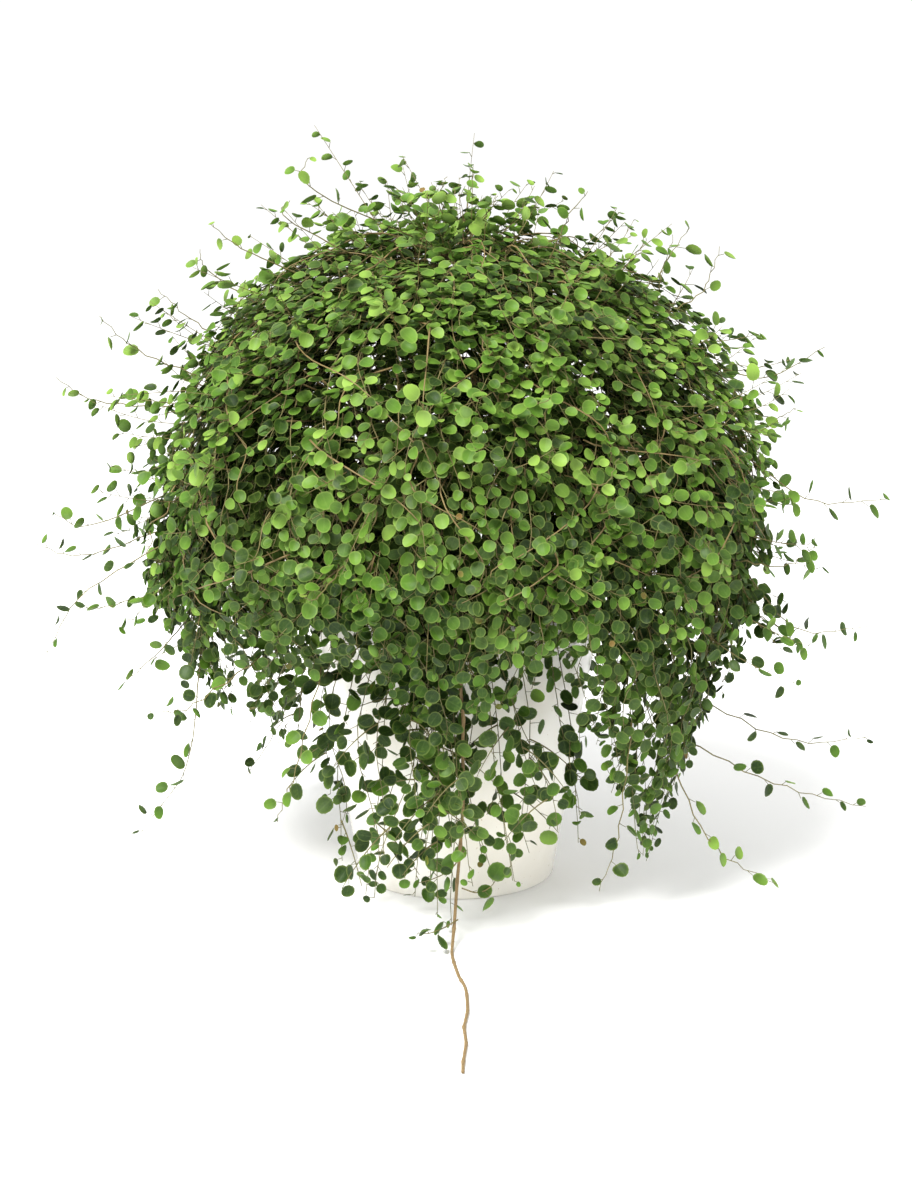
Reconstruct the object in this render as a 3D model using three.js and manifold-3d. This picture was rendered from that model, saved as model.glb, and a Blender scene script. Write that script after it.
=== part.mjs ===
// A maidenhair vine (Muehlenbeckia complexa, also called wire vine) in a plain white pot.
//
// Wiry stems rise bare out of the soil, arch over and fall on every side, so that round
// leaves the size of a small coin close over the pot as a dome with a hanging skirt. Below
// the skirt single stems trail down over the rim, and one bare, woody runner reaches the
// surface that the pot stands on and lies along it.
//
// Millimetres, +Z up. The origin is the middle of the pot's underside and -Y is the front.
// An azimuth is an angle in degrees about the pot's axis: 0 is the front and 90 is +X.
import * as THREE from "three";
import { mergeVertices } from "three/addons/utils/BufferGeometryUtils.js";
import Module from "manifold-3d";

const wasm = await Module();
wasm.setup();

// Driving dimensions of the pot and the soil
const POT_HEIGHT = 190;
const POT_BASE_RADIUS = 66;
const POT_RIM_RADIUS = 97;
const POT_WALL = 6;
const POT_FLOOR = 8;
const RIM_BAND = 20; // height of the thicker band at the pot's mouth
const RIM_STEP = 3; // how far that band stands out
const POT_SIDES = 24;
const DRAIN_HOLES = 4;
const DRAIN_RADIUS = 5;
const DRAIN_CIRCLE = 34;
const SOIL_TOP = 172;
const CLEARANCE = 0.3;
const HOLE_RADIUS = 3.6;
const HOLE_DEPTH = 22;

// Driving dimensions of the foliage
const DOME_RADIUS = 210; // outside of the leaves, at the widest level
const DOME_RISE = 194; // from that level to the top
const WIDEST_HEIGHT = 256;
const SKIRT_BOTTOM = 138;
const SKIRT_TAPER = 0.12; // share of the radius that the skirt has lost at its lower edge
const DOME_SHARE = 0.62; // share of the way from the top to the lower edge that is dome
const CORE_DEPTH = 20; // from the outside of the leaves to the twiggy core that they stand on
const CORE_THICKNESS = 7;
const CORE_ROUGHNESS = 6; // how far the core's surface wanders in and out
const STEM_RADIUS = 1.9; // woody base of a spray
const TWIG_RADIUS = 1.15;
const LEAF_THICKNESS = 1.8; // in the middle of a blade
const LEAF_RADIUS = 6.5;
const COVER_LEAF_RADIUS = 18; // leaves of the dense cover, fewer and larger than life
const PETIOLE = 4;

const DEG = Math.PI / 180;

// Placing things round the pot's axis

const at = (azimuth, radius, height) =>
  new THREE.Vector3(
    radius * Math.sin(azimuth * DEG),
    -radius * Math.cos(azimuth * DEG),
    height,
  );

const turnBetween = (a, b) => ((((a - b + 180) % 360) + 360) % 360) - 180;

const bump = (azimuth, centre, width) =>
  Math.exp(-((turnBetween(azimuth, centre) / width) ** 2));

// The skirt hangs lowest at the front right and at the back left.
const skirtBottom = (azimuth) =>
  SKIRT_BOTTOM - 46 * bump(azimuth, 62, 26) - 34 * bump(azimuth, -146, 30);

// Foliage bulges and hollows by a few per cent of its distance from the middle.
const bulge = (azimuth, t) =>
  1 +
  0.03 * Math.sin(3 * azimuth * DEG + 6 * t) +
  0.02 * Math.sin(7 * azimuth * DEG - 9 * t);

// The canopy's surface: t runs from 0 at the top to 1 at the skirt's lower edge.
function canopy(azimuth, t, depth = 0) {
  const swell = bulge(azimuth, t);
  if (t <= DOME_SHARE) {
    const fromTop = (t / DOME_SHARE) * 90 * DEG;
    return at(
      azimuth,
      (DOME_RADIUS - depth) * swell * Math.sin(fromTop),
      WIDEST_HEIGHT + (DOME_RISE - depth) * swell * Math.cos(fromTop),
    );
  }
  const down = (t - DOME_SHARE) / (1 - DOME_SHARE);
  return at(
    azimuth,
    (DOME_RADIUS - depth) * swell * (1 - SKIRT_TAPER * down * down),
    WIDEST_HEIGHT - down * (WIDEST_HEIGHT - skirtBottom(azimuth)),
  );
}

// The t at which the canopy has a given height.
function levelOf(azimuth, height) {
  if (height < WIDEST_HEIGHT) {
    const down =
      (WIDEST_HEIGHT - height) / (WIDEST_HEIGHT - skirtBottom(azimuth));
    return Math.min(0.98, DOME_SHARE + down * (1 - DOME_SHARE));
  }
  const share = Math.min(1, (height - WIDEST_HEIGHT) / (DOME_RISE - CORE_DEPTH));
  return Math.max(0.05, (DOME_SHARE * Math.acos(share)) / (90 * DEG));
}

function canopyNormal(azimuth, t) {
  const step = 0.01;
  const along = canopy(azimuth, t + step).sub(canopy(azimuth, t - step));
  const round = canopy(azimuth + 1, t).sub(canopy(azimuth - 1, t));
  return round.cross(along).normalize().negate();
}

// A repeatable share between 0 and 1 for the nth draw of a named series.
function draw(series, n) {
  let h = Math.imul(series * 374761393 + n * 668265263 + 12345, 1274126177);
  h = Math.imul(h ^ (h >>> 15), 2246822519);
  h = Math.imul(h ^ (h >>> 13), 3266489917);
  return ((h ^ (h >>> 16)) >>> 0) / 4294967296;
}

// Solids

function solidOf(geometry) {
  const bare = geometry.clone();
  bare.deleteAttribute("normal");
  bare.deleteAttribute("uv");
  const merged = mergeVertices(bare, 1e-4);
  const solid = (triVerts) =>
    new wasm.Manifold(
      new wasm.Mesh({
        numProp: 3,
        vertProperties: merged.attributes.position.array,
        triVerts,
      }),
    );
  const made = solid(new Uint32Array(merged.index.array));
  if (made.volume() > 0) return made;
  const turned = new Uint32Array(merged.index.array).reverse();
  return solid(turned);
}

function meshOf(name, solid, material) {
  const { vertProperties, triVerts } = solid.getMesh();
  const geometry = new THREE.BufferGeometry();
  geometry.setAttribute("position", new THREE.BufferAttribute(vertProperties, 3));
  geometry.setIndex(new THREE.BufferAttribute(triVerts, 1));
  geometry.computeVertexNormals();
  const mesh = new THREE.Mesh(geometry, material);
  mesh.name = name;
  return mesh;
}

function twig(curve, radius, steps, sides = 3) {
  const section = new THREE.Shape(
    Array.from({ length: sides }, (_, i) => {
      const turn = (i / sides) * 2 * Math.PI;
      return new THREE.Vector2(radius * Math.cos(turn), radius * Math.sin(turn));
    }),
  );
  return solidOf(
    new THREE.ExtrudeGeometry(section, {
      steps,
      extrudePath: curve,
      bevelEnabled: false,
    }),
  );
}

// One leaf: a six-sided blade, thickest in its middle, whose stalk starts inside its twig.
function leafSolid(root, along, face, radius, grow = 0) {
  const blade = new THREE.SphereGeometry(radius + grow, 6, 2);
  const corners = blade.attributes.position;
  for (let i = 0; i < corners.count; i++)
    if (corners.getX(i) < -0.9 * radius) corners.setX(i, -radius - PETIOLE - grow);
  blade.scale(1, (LEAF_THICKNESS * (0.5 + radius / 26) + 2 * grow) / (2 * radius), 1);
  blade.translate(radius + PETIOLE, 0, 0);
  const across = new THREE.Vector3().crossVectors(along, face).normalize();
  const normal = new THREE.Vector3().crossVectors(across, along);
  blade.applyMatrix4(
    new THREE.Matrix4().makeBasis(along, normal, across).setPosition(root),
  );
  return solidOf(blade);
}

// Everything placed so far, so that no leaf grows into another spray
const placed = [];

function place(owner, kind, solid) {
  const box = solid.boundingBox();
  placed.push({ owner, kind, solid, box });
  return solid;
}

const apart = (a, b) =>
  [0, 1, 2].some((i) => a.min[i] > b.max[i] || b.min[i] > a.max[i]);

function isClear(owner, solid) {
  const box = solid.boundingBox();
  if (box.min[2] < CLEARANCE) return false;
  return placed.every(
    (other) =>
      (other.owner === owner && other.kind !== "leaf") ||
      apart(box, other.box) ||
      solid.intersect(other.solid).isEmpty(),
  );
}

// Tries a leaf in a few directions about its root, then a smaller one, and keeps the
// first that is clear.
function growLeaf(spray, root, along, face, radius) {
  for (const size of [radius, 0.8 * radius])
    for (const turn of [0, 25, -25, 50, -50, 75, -75]) {
      const direction = along.clone().applyAxisAngle(face, turn * DEG).normalize();
      if (!isClear(spray.name, leafSolid(root, direction, face, size, 0.4))) continue;
      spray.parts.push(place(spray.name, "leaf", leafSolid(root, direction, face, size)));
      return;
    }
}

// The pot: a tapered wall with a thicker band at the mouth and holes in its floor

const wallRadius = (height) =>
  POT_BASE_RADIUS +
  ((POT_RIM_RADIUS - RIM_STEP - POT_BASE_RADIUS) * height) / (POT_HEIGHT - RIM_BAND);

const innerRadius = (height) => wallRadius(Math.min(height, POT_HEIGHT - RIM_BAND)) - POT_WALL;

function lathe(profile, segments) {
  const points = profile.map(([r, z]) => new THREE.Vector2(r, z));
  return solidOf(new THREE.LatheGeometry(points, segments).rotateX(Math.PI / 2));
}

function makePot() {
  const bandFoot = POT_HEIGHT - RIM_BAND;
  const body = lathe(
    [
      [0, 0],
      [POT_BASE_RADIUS - 2, 0],
      [POT_BASE_RADIUS, 2],
      [wallRadius(bandFoot), bandFoot - 2],
      [POT_RIM_RADIUS, bandFoot + 1],
      [POT_RIM_RADIUS, POT_HEIGHT - 2],
      [POT_RIM_RADIUS - 2, POT_HEIGHT],
      [innerRadius(bandFoot), POT_HEIGHT],
      [innerRadius(bandFoot), bandFoot],
      [innerRadius(POT_FLOOR), POT_FLOOR],
      [0, POT_FLOOR],
    ],
    POT_SIDES,
  );
  const drains = Array.from({ length: DRAIN_HOLES }, (_, i) => {
    const drill = new THREE.CylinderGeometry(DRAIN_RADIUS, DRAIN_RADIUS, 4 * POT_FLOOR, 8);
    const centre = at(45 + (i * 360) / DRAIN_HOLES, DRAIN_CIRCLE, 0);
    return solidOf(drill.rotateX(Math.PI / 2).translate(centre.x, centre.y, 0));
  });
  return drains.reduce((pot, drill) => pot.subtract(drill), body);
}

// The soil: it fills the pot to below the rim and has a plain hole for each stem

function makeSoil(roots) {
  const gap = CLEARANCE;
  const body = lathe(
    [
      [0, POT_FLOOR + CLEARANCE],
      [innerRadius(POT_FLOOR) - gap, POT_FLOOR + CLEARANCE],
      [innerRadius(SOIL_TOP - 3) - gap, SOIL_TOP - 3],
      [innerRadius(SOIL_TOP) - 6, SOIL_TOP],
      [0, SOIL_TOP],
    ],
    POT_SIDES,
  );
  return roots.reduce((soil, root) => {
    const drill = new THREE.CylinderGeometry(HOLE_RADIUS, HOLE_RADIUS, 2 * HOLE_DEPTH, 4);
    drill.rotateX(Math.PI / 2).translate(root.x, root.y, SOIL_TOP);
    return soil.subtract(solidOf(drill));
  }, body);
}

const rootPoint = (azimuth, radius) =>
  at(azimuth, radius, SOIL_TOP - HOLE_DEPTH + CLEARANCE);

// The core of a spray: a curved pad of twigs under the leaves, between two azimuths and
// two levels. Neighbours share a wavy border and stay a gap apart.

const BORDER_GAP = 1.4;

function borderAt(azimuth, t, side) {
  const radius = Math.hypot(canopy(azimuth, t).x, canopy(azimuth, t).y);
  const wave = 3.5 * Math.sin(11 * t + 5 * azimuth * DEG);
  return azimuth + wave - side * (BORDER_GAP / radius / DEG);
}

function makeCore(from, to, { top, bottom, columns, rows }, series) {
  const grid = (depth) =>
    Array.from({ length: rows + 1 }, (_, row) => {
      const t = top + ((bottom - top) * row) / rows;
      const left = borderAt(from, t, -1);
      const right = borderAt(to, t, 1);
      return Array.from({ length: columns + 1 }, (_, column) => {
        const wander = CORE_ROUGHNESS * (draw(series, row * 10 + column) - 0.5);
        return canopy(left + ((right - left) * column) / columns, t, depth + wander);
      });
    });
  const layers = [grid(CORE_DEPTH), grid(CORE_DEPTH + CORE_THICKNESS)];
  const index = (layer, row, column) =>
    (layer * (rows + 1) + row) * (columns + 1) + column;
  const triangles = [];
  const quad = (a, b, c, d) => triangles.push(a, b, c, a, c, d);
  for (let row = 0; row < rows; row++) {
    for (let column = 0; column < columns; column++)
      for (const layer of [0, 1]) {
        const corners = [
          index(layer, row, column),
          index(layer, row + 1, column),
          index(layer, row + 1, column + 1),
          index(layer, row, column + 1),
        ];
        quad(...(layer ? corners.reverse() : corners));
      }
    quad(index(0, row, 0), index(1, row, 0), index(1, row + 1, 0), index(0, row + 1, 0));
    quad(
      index(0, row + 1, columns),
      index(1, row + 1, columns),
      index(1, row, columns),
      index(0, row, columns),
    );
  }
  for (let column = 0; column < columns; column++) {
    quad(
      index(0, 0, column + 1),
      index(1, 0, column + 1),
      index(1, 0, column),
      index(0, 0, column),
    );
    quad(
      index(0, rows, column),
      index(1, rows, column),
      index(1, rows, column + 1),
      index(0, rows, column + 1),
    );
  }
  const geometry = new THREE.BufferGeometry();
  const corners = layers.flat(2).flatMap((corner) => corner.toArray());
  geometry.setAttribute("position", new THREE.Float32BufferAttribute(corners, 3));
  geometry.setIndex(triangles);
  return { solid: solidOf(geometry), layers };
}

// The point half way into a core at given shares of its width and its length
function insideCore({ layers }, across, down) {
  const mean = new THREE.Vector3();
  for (const layer of layers) {
    const row = Math.min(Math.floor(down * (layer.length - 1)), layer.length - 2);
    const width = layer[0].length - 1;
    const column = Math.min(Math.floor(across * width), width - 1);
    const u = across * width - column;
    const v = down * (layer.length - 1) - row;
    const upper = layer[row][column].clone().lerp(layer[row][column + 1], u);
    const lower = layer[row + 1][column].clone().lerp(layer[row + 1][column + 1], u);
    mean.addScaledVector(upper.lerp(lower, v), 0.5);
  }
  return mean;
}

// Sprays of the dome: a bare stem from the soil, a core and the leaves that cover it.
// first is the azimuth of the first spray and root the distance of its stem from the axis;
// top and bottom are the core's levels, and reach is the level at which the stem meets it.
const TIERS = [
  {
    tier: "crown",
    count: 5,
    first: 12,
    root: 20,
    top: 0.03,
    bottom: 0.25,
    reach: 0.14,
    columns: 4,
    rows: 3,
    leafRows: 4,
  },
  {
    tier: "drape",
    count: 10,
    first: 0,
    root: 50,
    top: 0.26,
    bottom: 0.985,
    reach: 0.42,
    columns: 3,
    rows: 7,
    leafRows: 7,
  },
];

const sprays = [];

function makeDomeSpray(tier, i) {
  const half = 180 / tier.count;
  const azimuth = tier.first + 2 * half * i;
  const spray = {
    name: `${tier.tier}_spray_${i + 1}`,
    azimuth,
    half,
    tier,
    parts: [],
    root: rootPoint(azimuth, tier.root),
  };
  const reach = canopy(azimuth, tier.reach, CORE_DEPTH + CORE_THICKNESS / 2);
  const lift = spray.root.clone().setZ(SOIL_TOP + 6);
  const rise = lift.clone().lerp(reach, 0.25);
  rise.z += 0.3 * (reach.z - lift.z);
  const path = new THREE.CatmullRomCurve3(
    [spray.root, spray.root.clone().setZ(SOIL_TOP - 8), lift, rise, reach],
    false,
    "catmullrom",
    0.5,
  );
  spray.parts.push(place(spray.name, "stem", twig(path, STEM_RADIUS, 7)));
  spray.core = makeCore(azimuth - half, azimuth + half, tier, sprays.length + 201);
  spray.parts.push(place(spray.name, "core", spray.core.solid));
  sprays.push(spray);
}

// Leaves of the cover stand in staggered rows, tips down and out, as scales do.
const COVER_SPACING = 47;

function coverWithLeaves(spray, series) {
  const { tier, azimuth, half } = spray;
  for (let row = 0; row < tier.leafRows; row++) {
    const down = (row + 0.35) / tier.leafRows;
    const t = tier.top + (tier.bottom - tier.top) * down;
    const middle = canopy(azimuth, t);
    const width = 2 * half * DEG * Math.hypot(middle.x, middle.y);
    const columns = Math.max(1, Math.round(width / COVER_SPACING));
    for (let column = 0; column < columns; column++) {
      const n = row * 10 + column;
      const stagger = (row % 2 ? 0.3 : 0.7) + 0.3 * (draw(series, n) - 0.5);
      const across = (column + stagger) / columns;
      const turn = azimuth + half * (2 * across - 1);
      const normal = canopyNormal(turn, t);
      const fall = canopy(turn, t + 0.01).sub(canopy(turn, t - 0.01)).normalize();
      const sideways = new THREE.Vector3().crossVectors(normal, fall);
      const along = fall
        .addScaledVector(sideways, 1.6 * (draw(series, n + 500) - 0.5))
        .addScaledVector(normal, 0.5 + 0.5 * draw(series, n + 700))
        .normalize();
      const face = normal.addScaledVector(along, -normal.dot(along)).normalize();
      const radius = COVER_LEAF_RADIUS * (0.86 + 0.28 * draw(series, n + 900));
      growLeaf(spray, insideCore(spray.core, across, down), along, face, radius);
    }
  }
}

// Shoots that stand out of the dome or hang below it. Each row holds where the shoot
// leaves the cover (azimuth, height), a point half way and its tip (azimuth, radius, height).
const SHOOTS = [
  // left side, from the top down
  [-38, 428, -44, 128, 470, -48, 130, 494],
  [-72, 418, -75, 112, 442, -77, 108, 456],
  [-78, 404, -76, 142, 428, -75, 160, 442],
  [-88, 385, -87, 160, 408, -86, 165, 424],
  [-100, 355, -97, 178, 376, -95, 197, 396],
  [-84, 340, -82, 204, 356, -80, 230, 380],
  [-96, 316, -92, 234, 319, -90, 262, 336],
  [-88, 262, -86, 240, 241, -85, 264, 250],
  [-100, 236, -97, 252, 212, -95, 284, 220],
  [-74, 240, -76, 246, 204, -78, 271, 163],
  [-94, 196, -92, 233, 181, -90, 252, 181],
  [-82, 178, -80, 200, 158, -79, 223, 139],
  [-70, 156, -72, 184, 92, -76, 214, 42],
  // top and right side, from the top down
  [-12, 440, -9, 58, 470, -6, 62, 482],
  [30, 436, 24, 52, 452, 26, 58, 464],
  [60, 418, 62, 80, 446, 64, 92, 466],
  [74, 402, 76, 118, 420, 78, 124, 430],
  [96, 382, 98, 138, 408, 100, 156, 436],
  [82, 378, 82, 160, 396, 84, 170, 424],
  [88, 342, 86, 202, 338, 84, 238, 359],
  [104, 312, 101, 218, 304, 98, 230, 312],
  [80, 292, 80, 232, 262, 82, 281, 262],
  [98, 256, 99, 222, 246, 100, 237, 247],
  [66, 230, 70, 222, 226, 73, 240, 239],
  [76, 216, 76, 228, 180, 78, 272, 182],
  [90, 190, 92, 212, 170, 94, 227, 158],
  [70, 134, 74, 226, 108, 78, 274, 108],
  [62, 112, 68, 224, 84, 73, 276, 68],
  [52, 108, 55, 198, 54, 60, 234, 28],
  [38, 126, 36, 172, 70, 30, 176, 36],
  // the same habit round the front and the back
  [-30, 150, -32, 186, 112, -34, 196, 84],
  [-48, 168, -50, 214, 150, -52, 238, 150],
  [22, 300, 22, 226, 300, 22, 244, 318],
  [-20, 250, -20, 232, 236, -20, 252, 240],
  [128, 372, 130, 184, 392, 132, 206, 420],
  [142, 300, 140, 238, 292, 138, 272, 306],
  [160, 216, 158, 236, 186, 156, 268, 178],
  [176, 150, 176, 192, 96, 174, 206, 52],
  [-170, 330, -170, 214, 340, -170, 240, 362],
  [-158, 240, -157, 240, 214, -156, 276, 212],
  [-140, 118, -138, 196, 60, -134, 222, 14],
  [-132, 300, -132, 232, 290, -132, 262, 300],
  [-118, 170, -118, 218, 136, -118, 248, 118],
];

// The spray of the dome whose core holds the place that a shoot grows from.
function sprayAt(azimuth, t) {
  const name = t < TIERS[0].bottom ? TIERS[0].tier : TIERS[1].tier;
  return sprays.find(
    ({ tier, azimuth: middle, half }) =>
      tier.tier === name &&
      turnBetween(azimuth, borderAt(middle - half, t, 0)) >= 0 &&
      turnBetween(azimuth, borderAt(middle + half, t, 0)) < 0,
  );
}

const shoots = [];
const SHOOT_STEPS = 3;
const SHOOT_LEAF_SPACING = 24;

const clampShare = (share) => Math.min(0.97, Math.max(0.03, share));

function makeShoot([azimuth, height, midAzimuth, midRadius, midHeight, ...tip]) {
  const t = levelOf(azimuth, height);
  const spray = sprayAt(azimuth, t);
  const { top, bottom } = spray.tier;
  const from = borderAt(spray.azimuth - spray.half, t, -1);
  const to = borderAt(spray.azimuth + spray.half, t, 1);
  const across = turnBetween(azimuth, from) / (to - from);
  const down = (t - top) / (bottom - top);
  const path = new THREE.CatmullRomCurve3([
    insideCore(spray.core, clampShare(across), clampShare(down)),
    at(midAzimuth, midRadius, midHeight),
    at(...tip),
  ]);
  spray.parts.push(place(spray.name, "stem", twig(path, TWIG_RADIUS, SHOOT_STEPS)));
  shoots.push({
    spray,
    path,
    steps: SHOOT_STEPS,
    start: 0.45,
    count: Math.round((0.55 * path.getLength()) / SHOOT_LEAF_SPACING) + 1,
    radius: LEAF_RADIUS,
  });
}

// A point on the straight chords that a twig of so many steps follows
function onChord(path, steps, share) {
  const points = path.getSpacedPoints(steps);
  const step = Math.min(Math.floor(share * steps), steps - 1);
  return points[step].clone().lerp(points[step + 1], share * steps - step);
}

// Alternate leaves along a twig: each turns its face out and up and points away from it.
function leavesAlong({ spray, path, steps, start, count, radius }, series) {
  for (let i = 0; i < count; i++) {
    const last = i === count - 1;
    const share = count > 1 ? start + ((0.985 - start) * i) / (count - 1) : 0.985;
    const root = onChord(path, steps, share);
    const ahead = path.getTangentAt(share);
    const outward = new THREE.Vector3(root.x, root.y, 0).normalize();
    const wanted = outward.add(new THREE.Vector3(0, 0, 0.9)).normalize();
    const side = new THREE.Vector3().crossVectors(wanted, ahead).normalize();
    const lean = last ? 0.15 : 1;
    const along = side
      .multiplyScalar((i % 2 ? 1 : -1) * lean)
      .addScaledVector(ahead, 0.75)
      .addScaledVector(wanted, 0.3 * (draw(series, i) - 0.3))
      .normalize();
    const face = wanted.addScaledVector(along, -wanted.dot(along)).normalize();
    const size = radius * (1.15 - 0.35 * share + 0.2 * draw(series, i + 50));
    growLeaf(spray, root, along, face, size);
  }
}

// Stems that fall over the rim close to the pot: azimuth and height of the tip
const CURTAIN = [
  [-41, 77],
  [-31, 44],
  [-22, 14],
  [-12, 26],
  [-4, 9],
  [10, 34],
  [20, 44],
  [34, 52],
  [84, 96],
  [128, 54],
  [166, 88],
  [-156, 60],
  [-112, 84],
  [-66, 92],
];
const CURTAIN_ROOT = 74;
const CURTAIN_STEPS = 9;
const CURTAIN_LEAF_SPACING = 23;

function makeCurtainStem([azimuth, tipHeight], i) {
  const spray = {
    name: `trailing_stem_${i + 1}`,
    parts: [],
    root: rootPoint(azimuth, CURTAIN_ROOT),
  };
  const sway = 6 * Math.sin(3 * azimuth * DEG + 1);
  const hang = (share, radius) =>
    at(azimuth + sway * share, radius, 182 + (tipHeight - 182) * share);
  const path = new THREE.CatmullRomCurve3(
    [
      spray.root,
      at(azimuth, CURTAIN_ROOT, SOIL_TOP - 8),
      at(azimuth, CURTAIN_ROOT + 1, SOIL_TOP + 6),
      at(azimuth, 89, 206),
      at(azimuth, 106, 204),
      hang(0, 115),
      hang(0.5, 121),
      hang(1, 124 + (i % 3) * 5),
    ],
    false,
    "catmullrom",
    0.5,
  );
  spray.parts.push(place(spray.name, "stem", twig(path, TWIG_RADIUS, CURTAIN_STEPS)));
  shoots.push({
    spray,
    path,
    steps: CURTAIN_STEPS,
    start: 0.42,
    count: Math.round((0.58 * path.getLength()) / CURTAIN_LEAF_SPACING) + 1,
    radius: 1.45 * LEAF_RADIUS,
  });
  sprays.push(spray);
}

// The woody runner: it comes down in front of the leaves, meets the surface and lies along it
const RUNNER_RADIUS = 1.5;
const RUNNER_PATH = [
  [3, 62, SOIL_TOP - HOLE_DEPTH + CLEARANCE],
  [3, 62, SOIL_TOP - 8],
  [3, 63, SOIL_TOP + 6],
  [2.5, 88, 214],
  [2, 118, 214],
  [1.5, 138, 176],
  [1.8, 143, 110],
  [0.8, 145, 52],
  [-0.2, 147, 18],
  [-0.8, 160, 3.6],
  [-0.7, 176, 1.9],
  [0.4, 205, 1.9],
  [1.4, 232, 1.9],
  [1, 292, 1.9],
  [0.6, 350, 1.9],
];

function makeRunner() {
  const path = new THREE.CatmullRomCurve3(
    RUNNER_PATH.map((point) => at(...point)),
    false,
    "catmullrom",
    0.5,
  );
  const runner = { name: "woody_runner", parts: [], root: rootPoint(3, 62) };
  runner.parts.push(place(runner.name, "stem", twig(path, RUNNER_RADIUS, 26, 4)));
  return runner;
}

// Assembly

const glaze = new THREE.MeshStandardMaterial({ color: 0xeceae4, roughness: 0.3, metalness: 0 });
const earth = new THREE.MeshStandardMaterial({ color: 0x3a2a1e, roughness: 1, metalness: 0 });
const leaf = new THREE.MeshStandardMaterial({ color: 0x4f8030, roughness: 0.6, metalness: 0 });
const bark = new THREE.MeshStandardMaterial({ color: 0x9a7650, roughness: 0.8, metalness: 0 });

for (const tier of TIERS) for (let i = 0; i < tier.count; i++) makeDomeSpray(tier, i);
const domeSprays = [...sprays];
SHOOTS.forEach(makeShoot);
CURTAIN.forEach(makeCurtainStem);
const runner = makeRunner();
const pot = place("pot", "pot", makePot());
const soil = place("soil", "soil", makeSoil([...sprays, runner].map(({ root }) => root)));
shoots.forEach((shoot, i) => leavesAlong(shoot, i + 1));
domeSprays.forEach((spray, i) => coverWithLeaves(spray, i + 101));

const join = (parts) => parts.reduce((whole, part) => whole.add(part));

const filledPot = new THREE.Group();
filledPot.add(meshOf("pot", pot, glaze), meshOf("soil", soil, earth));

const foliage = new THREE.Group();
for (const spray of sprays) foliage.add(meshOf(spray.name, join(spray.parts), leaf));

const pottedVine = new THREE.Group();
pottedVine.add(filledPot, foliage, meshOf(runner.name, join(runner.parts), bark));

export default pottedVine;
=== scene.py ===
# %% [markdown]
# # A potted maidenhair vine, leaf by leaf
# The plant is a mound of thousands of small round leaves on wiry stems. It spills over a plain
# white pot and hides nearly all of it. One bare woody runner lies on the table in front.
#
# The CAD part gives the frame: a pot, its soil, and one solid for each spray of the mound. Here
# each spray is dressed with its real leaves and stems, in the place that its solid holds.
#
# No leaf is drawn by hand. One small leaf is described once, and numpy copies it to every place
# where a stem bears one, all at once. The same rule draws the stems as tubes along paths.

import math

import bpy
import numpy as np
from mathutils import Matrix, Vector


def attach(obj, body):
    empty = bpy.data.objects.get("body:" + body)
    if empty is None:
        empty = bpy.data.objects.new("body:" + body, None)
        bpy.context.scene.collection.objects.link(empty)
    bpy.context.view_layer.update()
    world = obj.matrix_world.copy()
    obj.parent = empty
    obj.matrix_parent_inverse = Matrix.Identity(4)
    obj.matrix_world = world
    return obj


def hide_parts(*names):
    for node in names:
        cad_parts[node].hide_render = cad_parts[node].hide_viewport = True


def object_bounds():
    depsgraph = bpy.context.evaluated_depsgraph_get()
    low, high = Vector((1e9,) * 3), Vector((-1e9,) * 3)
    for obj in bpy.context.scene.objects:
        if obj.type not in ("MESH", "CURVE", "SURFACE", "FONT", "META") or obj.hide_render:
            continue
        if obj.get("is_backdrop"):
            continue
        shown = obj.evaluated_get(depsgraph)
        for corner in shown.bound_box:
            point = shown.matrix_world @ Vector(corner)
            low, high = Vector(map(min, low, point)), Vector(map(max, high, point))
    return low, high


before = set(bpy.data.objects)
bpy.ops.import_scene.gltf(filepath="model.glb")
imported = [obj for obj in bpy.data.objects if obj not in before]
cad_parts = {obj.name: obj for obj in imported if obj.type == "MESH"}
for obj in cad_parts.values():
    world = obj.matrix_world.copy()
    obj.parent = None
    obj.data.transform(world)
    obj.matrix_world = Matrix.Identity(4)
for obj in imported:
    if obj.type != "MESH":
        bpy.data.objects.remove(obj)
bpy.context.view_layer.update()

# %% [markdown]
# ## Camera
# The picture is 912 by 1180 pixels. The camera stands in front of the plant and looks down on it
# by twelve degrees. The lens is written so that its 36 mm covers the long side of the frame.

# %% Camera
PICTURE_HEIGHT, FOCAL_PIXELS, SENSOR = 1180.0, 2400.0, 36.0
DOWNWARD = math.radians(12.0)
DISTANCE = 1.6
AIM = np.array([0.0, 0.0, 0.194])

lens = bpy.data.cameras.new("Camera")
lens.sensor_fit = "AUTO"
lens.sensor_width = SENSOR
lens.lens = SENSOR * FOCAL_PIXELS / PICTURE_HEIGHT
camera = bpy.data.objects.new("Camera", lens)
bpy.context.scene.collection.objects.link(camera)
camera.location = AIM + DISTANCE * np.array([0.0, -math.cos(DOWNWARD), math.sin(DOWNWARD)])
camera.rotation_euler = (math.pi / 2 - DOWNWARD, 0.0, 0.0)
bpy.context.scene.camera = camera
print("focal length %.1f mm" % lens.lens)

# %% [markdown]
# ## Places on the plant
# Every place is given as the CAD part gives it: an azimuth in degrees from the front, a radius
# from the pot's axis and a height above the table, both in millimetres. One function turns
# these three into a point in metres, for one place or for a whole array of them.

# %% Azimuth, radius and height
MM = 0.001
UP = np.array([0.0, 0.0, 1.0])


def at(azimuth, radius, height):
    """x is the radius times the sine of the azimuth, y is minus the radius times its cosine,
    z is the height; all three are then turned from millimetres into metres."""
    a = np.radians(azimuth)
    a, radius, height = np.broadcast_arrays(a, radius, height)
    return np.stack([radius * np.sin(a), -radius * np.cos(a), height], axis=-1) * MM


def unit(vectors):
    """Each vector divided by its own length."""
    return vectors / np.maximum(np.linalg.norm(vectors, axis=-1, keepdims=True), 1e-12)


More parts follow.
